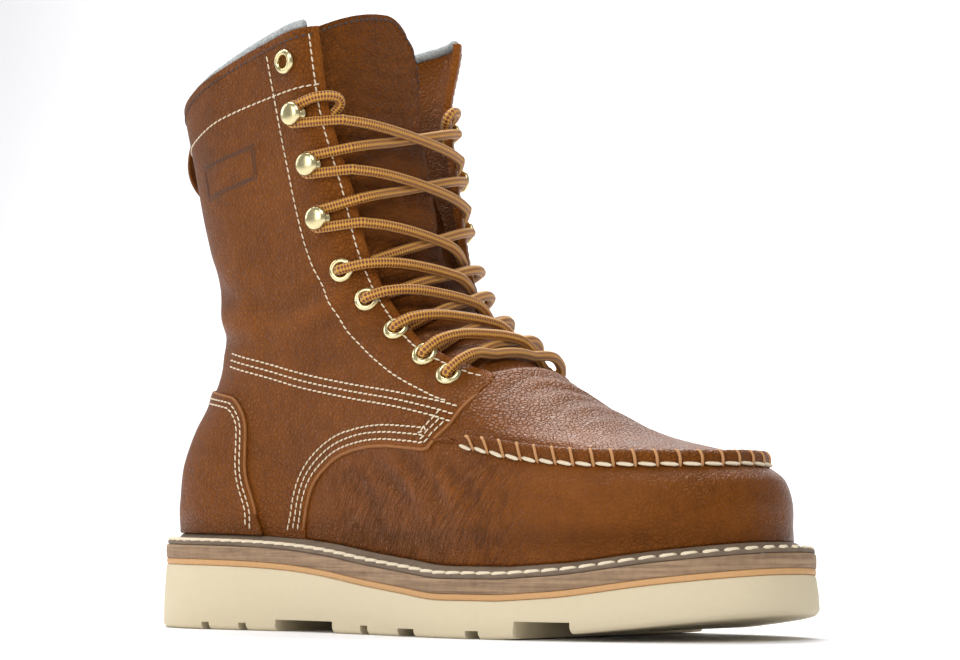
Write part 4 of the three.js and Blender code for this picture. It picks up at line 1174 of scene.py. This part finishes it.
def make_edges(p):
    """Raw cut edges that show as thin lighter lines, and the pressed frame."""
    paths = []
    for side in (-1, 1):
        for line, offset in ((shifted(QUARTER_EDGE, 0.0), 0.35), (COUNTER_EDGE[8:], QUARTER_STEP + 0.6)):
            paths.append(skin_side(evenly(line, 2.0), side, offset)[0])
    tube("Raw_edges", paths, 0.75, material("edge"), sides=6)
    corners = flat_line(PATCH_CORNERS)
    middle = corners.mean(0)
    grooves = [skin_side(evenly(line, 1.5), -1, QUARTER_STEP - 0.22)[0]
               for line in (corners, middle + (corners - middle) * PATCH_INNER)]
    tube("Patch_frame", grooves, 0.42, material("groove"), sides=6)


def tongue_top(y):
    """Height of the tongue's rounded top edge."""
    return feather_chord(0.368) + 1.013 * UPPER_HEIGHT + 7 - 0.006 * y ** 2 - 0.055 * np.maximum(y, 0) ** 2


def tongue_offset(section, turn):
    """Padded ripples across the tongue; on the inner side its edge falls back from the eyestay."""
    base = form_point(section, turn)
    z = side_view(base)[1]
    y = base[..., 1]
    across = 1 - smoothstep(10, 34, np.abs(y))
    ripple = 0
    for rise, depth, width in WRINKLES:
        d = z - rise * UPPER_HEIGHT - 0.05 * y - 0.006 * y * y
        ripple = ripple - depth * np.exp(-(d / width) ** 2)
    fold = smoothstep(1.04, 1.12, turn) - 0.75 * smoothstep(1.15, 1.27, turn)
    gutter = 8.0 * fold * smoothstep(9.8, 11.4, section)
    return across * (ripple + 0.55 * np.sin(z / 9.5)) - WALL - 0.55 - gutter


def make_tongue(p):
    """The padded tongue under the lace."""
    def spread(a, b):
        return 6.3 + (15.0 - 6.3) * b, 1 + (a - 0.5) * 0.62

    def keep(section, turn):
        base = form_point(section, turn)
        return tongue_top(base[..., 1]) - base[..., 2]

    tongue = panel("Tongue", 90, 190, spread, lambda s, t: skin(s, t, tongue_offset(s, t)),
                   material("leather"), keep=keep, nodes=["tongue"],
                   # Painted shade in the troughs of the tongue's ripples and in its gutter, painted
                   # highlights on their crests, and the whole tongue a little darker.
                   painted_light_and_tone=lambda s, t: np.clip((tongue_offset(s, t) + WALL + 0.5) * 0.12, -0.35, 0.2) - 0.08,
                   crease=lambda s, t: 0.55 * smoothstep(7, 9, s))
    with_rim(tongue, 0.0032, 0.0009, 3)


WRINKLES = [
    (1.000, 0.5, 2.0), (0.960, 0.6, 1.8), (0.925, 0.5, 1.6), (0.880, 0.7, 2.2), (0.845, 0.5, 1.6),
    (0.790, 0.8, 2.4), (0.755, 0.5, 1.6), (0.700, 0.8, 2.4), (0.660, 0.5, 1.6), (0.600, 0.8, 2.4),
    (0.555, 0.7, 2.0), (0.505, 0.8, 2.2), (0.455, 0.8, 2.0), (0.410, 0.7, 1.8), (0.370, 0.6, 1.6),
]


# Pitch of the pleats in millimetres, and the places where the seam starts and ends
PLEAT = 7.8
SEAM_START = 0.589
# Cross-section of the seam: across, height and how far its puffs stand out
SEAM_OUTLINE = [(-2.3, -0.6, 0.0), (-2.2, 1.3, 0.25), (-1.9, 2.9, 0.5), (-1.2, 3.9, 0.7), (0.0, 4.4, 0.7),
                (1.2, 3.9, 0.6), (2.2, 2.8, 0.45), (3.2, 1.3, 0.25), (4.6, 0.2, 0.0)]


def make_seam(p):
    """Moc seam: the plug's edge stands up and is gathered into pleats over the vamp's edge."""
    bm = bmesh.new()
    painted_light_and_tone = bm.verts.layers.float.new("painted_light_and_tone")
    count = 460
    turns = np.linspace(SEAM_START, 2 - SEAM_START, count)
    section = seam_section(turns)
    base = form_point(section, turns)
    run = np.concatenate([[0], np.cumsum(np.linalg.norm(np.diff(base, axis=0), axis=1))])
    pleat = np.abs(np.sin(np.pi * run / PLEAT)) ** 0.5
    ends = smoothstep(0, 12, run) * smoothstep(0, 12, run[-1] - run)
    pitch = np.linalg.norm(form_point(section + 0.1, turns) - form_point(section - 0.1, turns), axis=1) / 0.2
    normal = form_normal(section, turns)
    lift = unit(normal + [0, 0, 1])
    rows = []
    for across, high, puff in SEAM_OUTLINE:
        bulge = puff * (pleat - 0.6) * 0.9
        welt_shade = skin(section + across / pitch, turns, 0.3)
        height = (0.45 + 0.55 * ends) * high + bulge
        rows.append((welt_shade + lift * np.maximum(height, -0.6)[:, None]) * MM)
    # Painted light on the pleats: a lighter band at each pinch with painted shade beside it, and painted
    # shade on the seam's foot rows where the ridge meets the plug and the vamp.
    shade = 0.55 * np.exp(-(pleat / 0.35) ** 2) - 0.4 * np.exp(-((pleat - 0.62) / 0.14) ** 2)
    verts = [[bm.verts.new(q) for q in row] for row in rows]
    for k, row in enumerate(verts):
        for i, v in enumerate(row):
            v[painted_light_and_tone] = float(shade[i] if 0 < k < 7 else -0.35)
    for low, high in zip(verts[:-1], verts[1:]):
        for i in range(count - 1):
            bm.faces.new((low[i], low[i + 1], high[i + 1], high[i]))
    bmesh.ops.recalc_face_normals(bm, faces=bm.faces)
    seam = finished(bm, "Moc_seam", material("leather"), nodes=["moc_seam"])
    add_modifier(seam, "SOLIDIFY", thickness=0.0009, offset=-1.0)
    bars = []
    for here in np.arange(PLEAT, run[-1] - PLEAT / 2, PLEAT):
        i = int(np.argmin(np.abs(run - here)))
        bars.append(evenly(rounded(np.array([row[i] for row in rows[:-1]]) / MM, 4), 0.6))
    tube("Seam_bars", bars, 0.62, material("seam_thread"), sides=6)
    at = np.arange(PLEAT / 2, run[-1] - 2, PLEAT)
    turn_at = np.interp(at, run, turns)
    s_at = seam_section(turn_at)
    pitch_at = np.interp(at, run, pitch)
    points = skin(s_at - 2.5 / pitch_at, turn_at, 0.3) + np.interp(at, run, ends)[:, None] * 0.7 * unit(
        form_normal(s_at, turn_at) + [0, 0, 1])
    stitches("Moc_stitches", [(points, form_normal(s_at - 2.5 / pitch_at, turn_at), 6.9, 1.7, 1.5, -9.0)],
             material("thread"))


def stitch_lines():
    """Side-view lines of the stitching, each with its pitch; read off the photo."""
    top = rounded(flat_line([(0.171, 0.365), (0.247, 0.341), (0.319, 0.317), (0.406, 0.294),
                             (0.491, 0.275), (0.556, 0.256), (0.590, 0.243)]))
    arc = QUARTER_EDGE[:-10]
    stay = rounded(flat_line([(0.270, 0.985), (0.287, 0.858), (0.304, 0.743), (0.331, 0.577), (0.367, 0.467),
                              (0.406, 0.390), (0.472, 0.318), (0.540, 0.270), (0.575, 0.252)]))
    collar = rounded(flat_line([(0.052, 0.775), (0.124, 0.807), (0.182, 0.837), (0.255, 0.862),
                                (0.325, 0.881), (0.348, 0.887)]))
    lines = []
    for gap in (0.0, -2.7, -5.4):
        lines.append((shifted(top, gap), 2.9, QUARTER_STEP))
    for gap in (2.3, 4.9, 7.5):
        lines.append((shifted(arc, gap), 2.9, QUARTER_STEP))
    lines.append((stay, 3.0, QUARTER_STEP))
    lines.append((shifted(THROAT_EDGE[6:], 2.6), 3.0, QUARTER_STEP))
    lines.append((collar, 3.0, QUARTER_STEP))
    edge = COUNTER_EDGE[10:]
    for gap in (-2.2, -4.4):
        lines.append((shifted(edge, gap), 2.9, COUNTER_STEP))
    return lines


def make_stitches(p):
    """Light seams of the panels, and dark ones along the collar and the tongue's top."""
    runs = []
    for line, pitch, height in stitch_lines():
        for side in (-1, 1):
            section, _ = locate(line[:, 0] / SOLE_LENGTH, line[:, 1] / UPPER_HEIGHT, side)
            kept = line[(line[:, 1] > 1.0) & (section < COLLAR - 0.12)]
            runs.append(side_run(kept, side, height + 0.12, pitch, pitch * 0.82))
    stitches("Stitches", runs, material("thread"))
    runs = []
    turns = np.linspace(-0.84, 0.84, 400)
    x, z = side_view(form_point(COLLAR - 0.16, turns))
    turns = turns[inside(x, z, QUARTER_OUTLINE) > 1.6]
    section = np.full(len(turns), COLLAR - 0.16)
    runs.append(stitch_run(skin(section, turns, QUARTER_STEP + 0.1), form_normal(section, turns), 2.7, 1.9))
    turns = np.linspace(0.74, 1.10, 200)
    rows = np.linspace(11.0, 15.0, 90)
    height = form_point(rows[:, None], turns[None, :])
    wanted = tongue_top(height[..., 1]) - height[..., 2] - 2.2
    section = np.array([np.interp(0, -wanted[:, k], rows) for k in range(len(turns))])
    runs.append(stitch_run(skin(section, turns, tongue_offset(section, turns) + 0.15),
                           form_normal(section, turns), 2.7, 1.9))
    stitches("Edge_stitches", runs, material("dark_thread"))


# Metal
def seat_of(place, rise, side, offset):
    """Matrix of a spot on the skin, its normal as local Z and the boot's up as near local Y."""
    section, turn = locate(np.array([place]), np.array([rise]), side)
    point = skin(section, turn, offset)[0]
    normal = form_normal(section, turn)[0]
    z = Vector(normal)
    x = Vector((0, 0, 1)).cross(z).normalized()
    y = z.cross(x)
    turned = Matrix((x, y, z)).transposed().to_4x4()
    turned.translation = Vector(point) * MM
    return turned


def lathe(bm, profile, matrix, steps=28):
    """Adds a turned shape to bm: profile is (radius, height) in millimetres, axis local Z."""
    rings = []
    for r, z in profile:
        if r < 1e-6:
            rings.append([bm.verts.new(matrix @ Vector((0, 0, z * MM)))])
        else:
            rings.append([bm.verts.new(matrix @ Vector((r * math.cos(a) * MM, r * math.sin(a) * MM, z * MM)))
                          for a in np.linspace(0, 2 * np.pi, steps, endpoint=False)])
    for low, high in zip(rings[:-1], rings[1:]):
        for i in range(steps):
            k = (i + 1) % steps
            quad = [low[i % len(low)], low[k % len(low)], high[k % len(high)], high[i % len(high)]]
            quad = list(dict.fromkeys(quad))
            if len(quad) > 2:
                bm.faces.new(quad)


EYELET = [(2.5, -2.2), (2.5, 0.6), (2.7, 1.2), (3.2, 1.62), (3.9, 1.55), (4.5, 1.15), (4.85, 0.55),
          (4.95, 0.1), (4.95, -0.1), (3.1, -0.1), (3.1, -2.2), (2.5, -2.2)]
HOOK = [(0.0, -0.2), (3.9, -0.2), (3.9, 0.5), (3.6, 0.85), (2.4, 1.1), (2.2, 1.6), (2.2, 3.6), (2.5, 4.1),
        (4.1, 4.2), (4.55, 4.45), (4.65, 4.9), (4.5, 5.5), (4.1, 6.05), (3.3, 6.5), (2.2, 6.75), (1.1, 6.88),
        (0.0, 6.9)]


def make_metal(p):
    """Eyelets and speed hooks of both sides."""
    names = {-1: "outer", 1: "inner"}
    for side in (-1, 1):
        bm = bmesh.new()
        for place, rise in EYELET_ROWS + [TOP_EYELET]:
            lathe(bm, EYELET, seat_of(place, rise, side, QUARTER_STEP + 0.15))
        bmesh.ops.recalc_face_normals(bm, faces=bm.faces)
        finished(bm, f"Eyelets_{names[side]}", material("brass"),
                 nodes=[f"eyelet_{names[side]}_{k}" for k in range(1, 7)])
        bm = bmesh.new()
        for place, rise in HOOK_ROWS:
            lathe(bm, HOOK, seat_of(place, rise, side, QUARTER_STEP + 0.15))
        bmesh.ops.recalc_face_normals(bm, faces=bm.faces)
        finished(bm, f"Hooks_{names[side]}", material("brass"),
                 nodes=[f"hook_{names[side]}_{k}" for k in range(1, 4)])


# Laces
LACE = 2.0
OVER_METAL = QUARTER_STEP + 1.3 + LACE
OVER_QUARTER = QUARTER_STEP + LACE + 0.1
ON_TONGUE = -WALL + LACE
UNDER = -WALL + LACE - 0.8


def over_throat(start, end, shares):
    """Points of the form over the straight way between two of its points, and their normals."""
    ends = [form_point(*start).reshape(3), form_point(*end).reshape(3)]
    ahead = form_normal(np.array((start[0] + end[0]) / 2 + 1), np.array(1.0)).reshape(3)
    chord = ends[0] + (ends[1] - ends[0]) * shares[:, None]
    near = np.full(len(shares), -1.0)
    far = np.full(len(shares), 110.0)
    for _ in range(24):
        middle = (near + far) / 2
        point = chord + ahead * middle[:, None]
        place = place_of(point[:, 0])
        rise = (point[:, 2] - feather_chord(place)) / UPPER_HEIGHT
        section, turn = locate(place, rise, np.where(point[:, 1] < 0, -1, 1))
        within = np.abs(point[:, 1]) < np.abs(form_point(section, turn)[:, 1])
        near, far = np.where(within, middle, near), np.where(within, far, middle)
    return chord + ahead * near[:, None], form_normal(section, turn)


def spot(place, rise, side, ahead=0.0, up=0.0):
    """Section and turn of a side-view spot, moved ahead and up by millimetres."""
    place, rise = place + ahead / SOLE_LENGTH, rise + up / UPPER_HEIGHT
    section, turn = locate(np.array([place]), np.array([rise]), side)
    return section[0], turn[0]


def strand_points(start, end, heights, from_share, to_share, count):
    """Points of a strand over the throat between two spots, at heights over the form."""
    shares = np.linspace(from_share, to_share, count)
    points, normals = over_throat(start, end, shares)
    return points + normals * heights(shares)[:, None]


def hole(row, side, heights):
    """Points up through an eyelet, at heights over the skin."""
    section, turn = spot(*row, side)
    base, normal = form_point(section, turn), form_normal(np.array(section), np.array(turn))
    return np.array([base + normal * h for h in heights])


def round_hook(row, side, low_first=True):
    """Half turn behind a hook's neck, on the side away from the throat, from low to high."""
    m = seat_of(*row, side, OVER_QUARTER)
    middle = np.array(m.translation) / MM
    x, y = np.array(m.col[0][:3]), np.array(m.col[1][:3])
    ahead = x * np.sign(x[0])
    angles = np.radians([-75, -110, -145, -180, -215, -250, -285])
    ring = [middle + 3.6 * (math.cos(a) * ahead + math.sin(a) * y) for a in angles]
    return np.array(ring if low_first else ring[::-1])


def smooth_path(points, spacing=1.2):
    """A smooth line through the points, evenly divided."""
    return evenly(rounded(np.asarray(points), 6), spacing)


# Free end past the top hook: ahead and up in millimetres, then the height over the form
LACE_TUCK = [(3.0, 4.6, OVER_QUARTER), (6.0, 6.0, OVER_QUARTER), (9.0, 6.6, OVER_QUARTER - 0.2),
             (11.2, 6.0, 2.0), (12.0, 3.6, 0.2), (11.0, 0.0, UNDER), (9.5, -5.0, UNDER), (8.0, -11.0, UNDER)]


def make_laces(p):
    """The bar over the lowest eyelets, the crossings up to the top hooks and the two free ends."""
    rows = EYELET_ROWS + HOOK_ROWS
    low = EYELET_ROWS[0]

    def high_low(share, high, low_height, start, end):
        return high + (low_height - high) * smoothstep(start, end, share)

    def bar_height(shares):
        t = np.minimum(shares, 1 - shares)
        return high_low(t, OVER_METAL, ON_TONGUE + 0.4, 0.10, 0.34)

    bar = strand_points(spot(*low, -1), spot(*low, 1), bar_height, 0.05, 0.95, 26)
    path = np.vstack([hole(low, -1, [-3.5, 0.0, 3.2]), bar, hole(low, 1, [3.2, 0.0, -3.5])])
    tube("Lace_bar", [smooth_path(path)], LACE, material("lace"), sides=12, nodes=["lace_bar"])
    for i in range(len(rows) - 1):
        low_hook, high_hook = i >= 5, i + 1 >= 5
        paths = []
        for side in (-1, 1):
            start = spot(*rows[i + 1], side, 0, -3.2 if high_hook else 0)
            end = spot(*rows[i], -side, 0, 3.2 if low_hook else 0)
            rest = ON_TONGUE + (1.8 * LACE if side < 0 else 0.0)

            def heights(t, high_hook=high_hook, low_hook=low_hook, rest=rest):
                fall = high_low(t, OVER_QUARTER if high_hook else OVER_METAL, rest, 0.08, 0.40)
                rise = high_low(1 - t, OVER_QUARTER if low_hook else UNDER, rest, 0.10, 0.40)
                return np.where(t < 0.5, fall, rise)

            middle = strand_points(start, end, heights, 0.10 if high_hook else 0.06,
                                   0.90 if low_hook else 0.93, 30)
            if high_hook:
                first = round_hook(rows[i + 1], side, False)[3:]
            else:
                first = hole(rows[i + 1], side, [-3.5, 0.0, 3.3])
            if low_hook:
                last = round_hook(rows[i], -side)[3:][::-1]
            else:
                last = hole(rows[i], -side, [-2.2, 0.0, 2.0])
            paths.append(smooth_path(np.vstack([first, middle, last])))
        tube(f"Lace_cross_{i + 1}", paths, LACE, material("lace"), sides=12,
             nodes=[f"lace_cross_{i + 1}"])
    for side, name in ((-1, "outer"), (1, "inner")):
        top = HOOK_ROWS[-1]
        ring = round_hook(top, side)[3:]
        up_and_over = []
        for ahead, up, height in LACE_TUCK:
            place, rise = top[0] + ahead / SOLE_LENGTH, top[1] + up / UPPER_HEIGHT
            section, turn = spot(place, rise, side)
            up_and_over.append(skin(np.array([section]), np.array([turn]), height)[0])
        path = smooth_path(np.vstack([ring, up_and_over]), 1.0)
        end = tube(f"Lace_end_{name}", [path], LACE, material("lace"), sides=12,
                   nodes=[f"lace_end_{name}"])


# Half width and relative thickness of the pull loop, and how far it stands off the heel
LOOP_HALF = 8.0
LOOP_THICK = 0.95
LOOP_OUT = 8.6


def make_loop(p):
    """Strap off the back seam below the collar."""
    ends = [skin(np.array([s]), np.array([0.0]), QUARTER_STEP + 0.2)[0] for s in (13.95, 12.65)]
    top, bottom = np.array(ends[0]), np.array(ends[1])
    along = bottom - top
    away = unit(np.cross([0, 1, 0], along))
    away = away * (-1 if away[0] > 0 else 1)
    t = np.linspace(0, 1, 33)
    out = LOOP_OUT * np.sin(np.pi * np.clip(t, 0, 1)) ** 0.75 + 0.9
    middle = top + np.outer(t, along) + np.outer(out, away)
    bm = bmesh.new()
    half, thick = LOOP_HALF, LOOP_THICK
    tangent = unit(np.gradient(middle, axis=0))
    normal = np.cross(tangent, [0, 1, 0])
    section = [(-half, 0.5), (-half + 0.5, 0.9), (half - 0.5, 0.9), (half, 0.5), (half, -0.5),
               (half - 0.5, -0.9), (-half + 0.5, -0.9), (-half, -0.5)]
    rows = [[bm.verts.new((m + np.array([0, y, 0]) + n * (s * thick)) * MM) for y, s in section]
            for m, n in zip(middle, normal)]
    for a, b in zip(rows[:-1], rows[1:]):
        for k in range(8):
            bm.faces.new((a[k], a[(k + 1) % 8], b[(k + 1) % 8], b[k]))
    bm.faces.new(rows[0])
    bm.faces.new(rows[-1][::-1])
    bmesh.ops.recalc_face_normals(bm, faces=bm.faces)
    finished(bm, "Pull_loop", material("leather"), nodes=["pull_loop"])


# Stage
def area_light(name, place, aim, size, power):
    """A soft light at a place in metres, turned to its aim."""
    light = bpy.data.lights.new(name, "AREA")
    light.shape = "RECTANGLE"
    light.size, light.size_y = size
    light.energy = power
    lamp = bpy.data.objects.new(name, light)
    bpy.context.collection.objects.link(lamp)
    lamp.location = place
    lamp.rotation_euler = (Vector(aim) - Vector(place)).to_track_quat("-Z", "Y").to_euler()


# Lights: name, place, aim, size and power
LIGHTS = [
    ("Key", (1.0, -0.7, 1.5), (0.03, 0.0, 0.10), (0.8, 0.8), 13),
    ("Front", (0.2, -1.7, 0.7), (0.0, 0.0, 0.12), (0.9, 1.2), 10),
    ("Left", (-1.4, -0.7, 0.8), (0.0, 0.0, 0.12), (0.5, 1.2), 7),
    ("Top", (-0.48, 0.14, 1.35), (0.08, -0.02, 0.09), (0.7, 0.7), 15),
    ("Back", (-0.7, 1.1, 1.3), (-0.3, 1.6, 0.3), (1.6, 1.0), 30),
]
WORLD_LIGHT = 0.34
# Sweep of the floor in metres: width, length, start before the boot, where and how it bends up
SWEEP_WIDTH = 9.0
SWEEP_LENGTH = 5.6
SWEEP_START = -2.4
SWEEP_BEND = 1.6
SWEEP_RADIUS = 0.8
# The photo is taken from this angle off the boot's side, and from this place
VIEW_ANGLE = math.radians(39)
CAMERA_PLACE = (0.8677, -0.9855, 0.0428)


def make_stage(p):
    """Pale floor that sweeps up into a backdrop behind the boot, lights and camera."""
    bm = bmesh.new()
    bmesh.ops.create_grid(bm, x_segments=1, y_segments=60, size=0.5)
    ahead = Vector((-math.sin(VIEW_ANGLE), math.cos(VIEW_ANGLE), 0))
    right = Vector((math.cos(VIEW_ANGLE), math.sin(VIEW_ANGLE), 0))
    for v in bm.verts:
        run = (v.co.y + 0.5) * SWEEP_LENGTH + SWEEP_START
        bend = max(0.0, run - SWEEP_BEND)
        angle = min(bend / SWEEP_RADIUS, math.pi / 2)
        depth = min(run, SWEEP_BEND) + SWEEP_RADIUS * math.sin(angle)
        height = SWEEP_RADIUS * (1 - math.cos(angle)) + max(0.0, bend - SWEEP_RADIUS * math.pi / 2)
        v.co = right * v.co.x * SWEEP_WIDTH + ahead * depth + Vector((0, 0, height))
    mesh = bpy.data.meshes.new("Floor")
    bm.to_mesh(mesh)
    bm.free()
    floor = shown(mesh, material("floor"))
    world = bpy.data.worlds.new("Studio")
    bpy.context.scene.world = world
    world.use_nodes = True
    back = world.node_tree.nodes["Background"]
    back.inputs[0].default_value = (1.0, 1.0, 1.0, 1)
    back.inputs[1].default_value = WORLD_LIGHT
    for light in LIGHTS:
        area_light(*light)
    scene = bpy.context.scene
    scene.view_settings.view_transform = "Standard"
    data = bpy.data.cameras.new("Camera")
    data.lens = p.lens
    data.sensor_width = 36.0
    data.clip_start, data.clip_end = 0.05, 20
    camera = bpy.data.objects.new("Camera", data)
    bpy.context.collection.objects.link(camera)
    camera.location = CAMERA_PLACE
    aim = Vector(p.aim)
    camera.rotation_euler = (aim - camera.location).to_track_quat("-Z", "Y").to_euler()
    scene.camera = camera


# Add-on
class BootSettings(bpy.types.PropertyGroup):
    """Sizes and colours of the boot's looks"""
    leather_colour: bpy.props.FloatVectorProperty(
        name="Leather", description="Middle tone of the leather", subtype="COLOR", size=3,
        default=linear(112, 60, 14), min=0, max=1)
    thread_colour: bpy.props.FloatVectorProperty(
        name="Thread", description="Colour of the stitching", subtype="COLOR", size=3,
        default=linear(222, 206, 178), min=0, max=1)
    sole_colour: bpy.props.FloatVectorProperty(
        name="Sole", description="Colour of the wedge", subtype="COLOR", size=3,
        default=linear(205, 191, 160), min=0, max=1)
    metal_colour: bpy.props.FloatVectorProperty(
        name="Metal", description="Colour of eyelets and hooks", subtype="COLOR", size=3,
        default=linear(222, 208, 160), min=0, max=1)
    lace_colour: bpy.props.FloatVectorProperty(
        name="Lace", description="Main yarn of the lace", subtype="COLOR", size=3,
        default=linear(204, 146, 48), min=0, max=1)
    lens: bpy.props.FloatProperty(
        name="Lens", description="Focal length of the camera in millimetres", default=128.0, min=20)
    aim: bpy.props.FloatVectorProperty(
        name="Aim", description="Point that the camera looks at", subtype="TRANSLATION", size=3,
        default=(0.005, 0.0, 0.116))


class BOOT_OT_materials(bpy.types.Operator):
    """Makes the leather, thread, metal, lace and sole finishes"""
    bl_idname = "boot.materials"
    bl_label = "Materials"

    def execute(self, context):
        make_materials(context.scene.boot)
        return {"FINISHED"}


class BOOT_OT_sole(bpy.types.Operator):
    """Makes the wedge, its layers, the midsole and the stitched welt"""
    bl_idname = "boot.sole"
    bl_label = "Sole"

    def execute(self, context):
        make_sole(context.scene.boot)
        return {"FINISHED"}


class BOOT_OT_upper(bpy.types.Operator):
    """Makes the quarters, counter, vamp, plug, lining and collar"""
    bl_idname = "boot.upper"
    bl_label = "Upper"

    def execute(self, context):
        make_upper(context.scene.boot)
        return {"FINISHED"}


class BOOT_OT_edges(bpy.types.Operator):
    """Makes the cut edges of the leather"""
    bl_idname = "boot.edges"
    bl_label = "Raw edges"

    def execute(self, context):
        make_edges(context.scene.boot)
        return {"FINISHED"}


class BOOT_OT_tongue(bpy.types.Operator):
    """Makes the padded tongue"""
    bl_idname = "boot.tongue"
    bl_label = "Tongue"

    def execute(self, context):
        make_tongue(context.scene.boot)
        return {"FINISHED"}


class BOOT_OT_seam(bpy.types.Operator):
    """Makes the gathered seam round the toe and its stitches"""
    bl_idname = "boot.seam"
    bl_label = "Moc seam"

    def execute(self, context):
        make_seam(context.scene.boot)
        return {"FINISHED"}


class BOOT_OT_stitches(bpy.types.Operator):
    """Makes the seams on quarters, eyestay, collar and counter"""
    bl_idname = "boot.stitches"
    bl_label = "Stitches"

    def execute(self, context):
        make_stitches(context.scene.boot)
        return {"FINISHED"}


class BOOT_OT_metal(bpy.types.Operator):
    """Makes the eyelets and speed hooks"""
    bl_idname = "boot.metal"
    bl_label = "Metal"

    def execute(self, context):
        make_metal(context.scene.boot)
        return {"FINISHED"}


class BOOT_OT_laces(bpy.types.Operator):
    """Runs the lace through eyelets and hooks"""
    bl_idname = "boot.laces"
    bl_label = "Laces"

    def execute(self, context):
        make_laces(context.scene.boot)
        return {"FINISHED"}


class BOOT_OT_loop(bpy.types.Operator):
    """Makes the strap on the back seam"""
    bl_idname = "boot.loop"
    bl_label = "Pull loop"

    def execute(self, context):
        make_loop(context.scene.boot)
        return {"FINISHED"}


class BOOT_OT_stage(bpy.types.Operator):
    """Makes the floor, lights and camera"""
    bl_idname = "boot.stage"
    bl_label = "Stage"

    def execute(self, context):
        make_stage(context.scene.boot)
        return {"FINISHED"}


OPERATORS = [
    BOOT_OT_materials, BOOT_OT_sole, BOOT_OT_upper, BOOT_OT_edges, BOOT_OT_tongue,
    BOOT_OT_seam, BOOT_OT_stitches, BOOT_OT_metal, BOOT_OT_laces, BOOT_OT_loop, BOOT_OT_stage,
]


class BOOT_PT_panel(bpy.types.Panel):
    """Buttons that make the boot piece by piece"""
    bl_label = "Boot"
    bl_idname = "BOOT_PT_panel"
    bl_space_type = "VIEW_3D"
    bl_region_type = "UI"
    bl_category = "Boot"

    def draw(self, context):
        for operator in OPERATORS:
            self.layout.operator(operator.bl_idname)
        for name in BootSettings.__annotations__:
            self.layout.prop(context.scene.boot, name)


CLASSES = [BootSettings, *OPERATORS, BOOT_PT_panel]


def register():
    """Registers the classes and the settings."""
    for cls in CLASSES:
        bpy.utils.register_class(cls)
    bpy.types.Scene.boot = bpy.props.PointerProperty(type=BootSettings)


def unregister():
    """Takes the settings and the classes back out."""
    del bpy.types.Scene.boot
    for cls in reversed(CLASSES):
        bpy.utils.unregister_class(cls)


def main():
    """Makes the whole boot and its stage."""
    register()
    for operator in OPERATORS:
        getattr(bpy.ops.boot, operator.bl_idname.partition(".")[2])()


if __name__ == "__main__":
    main()
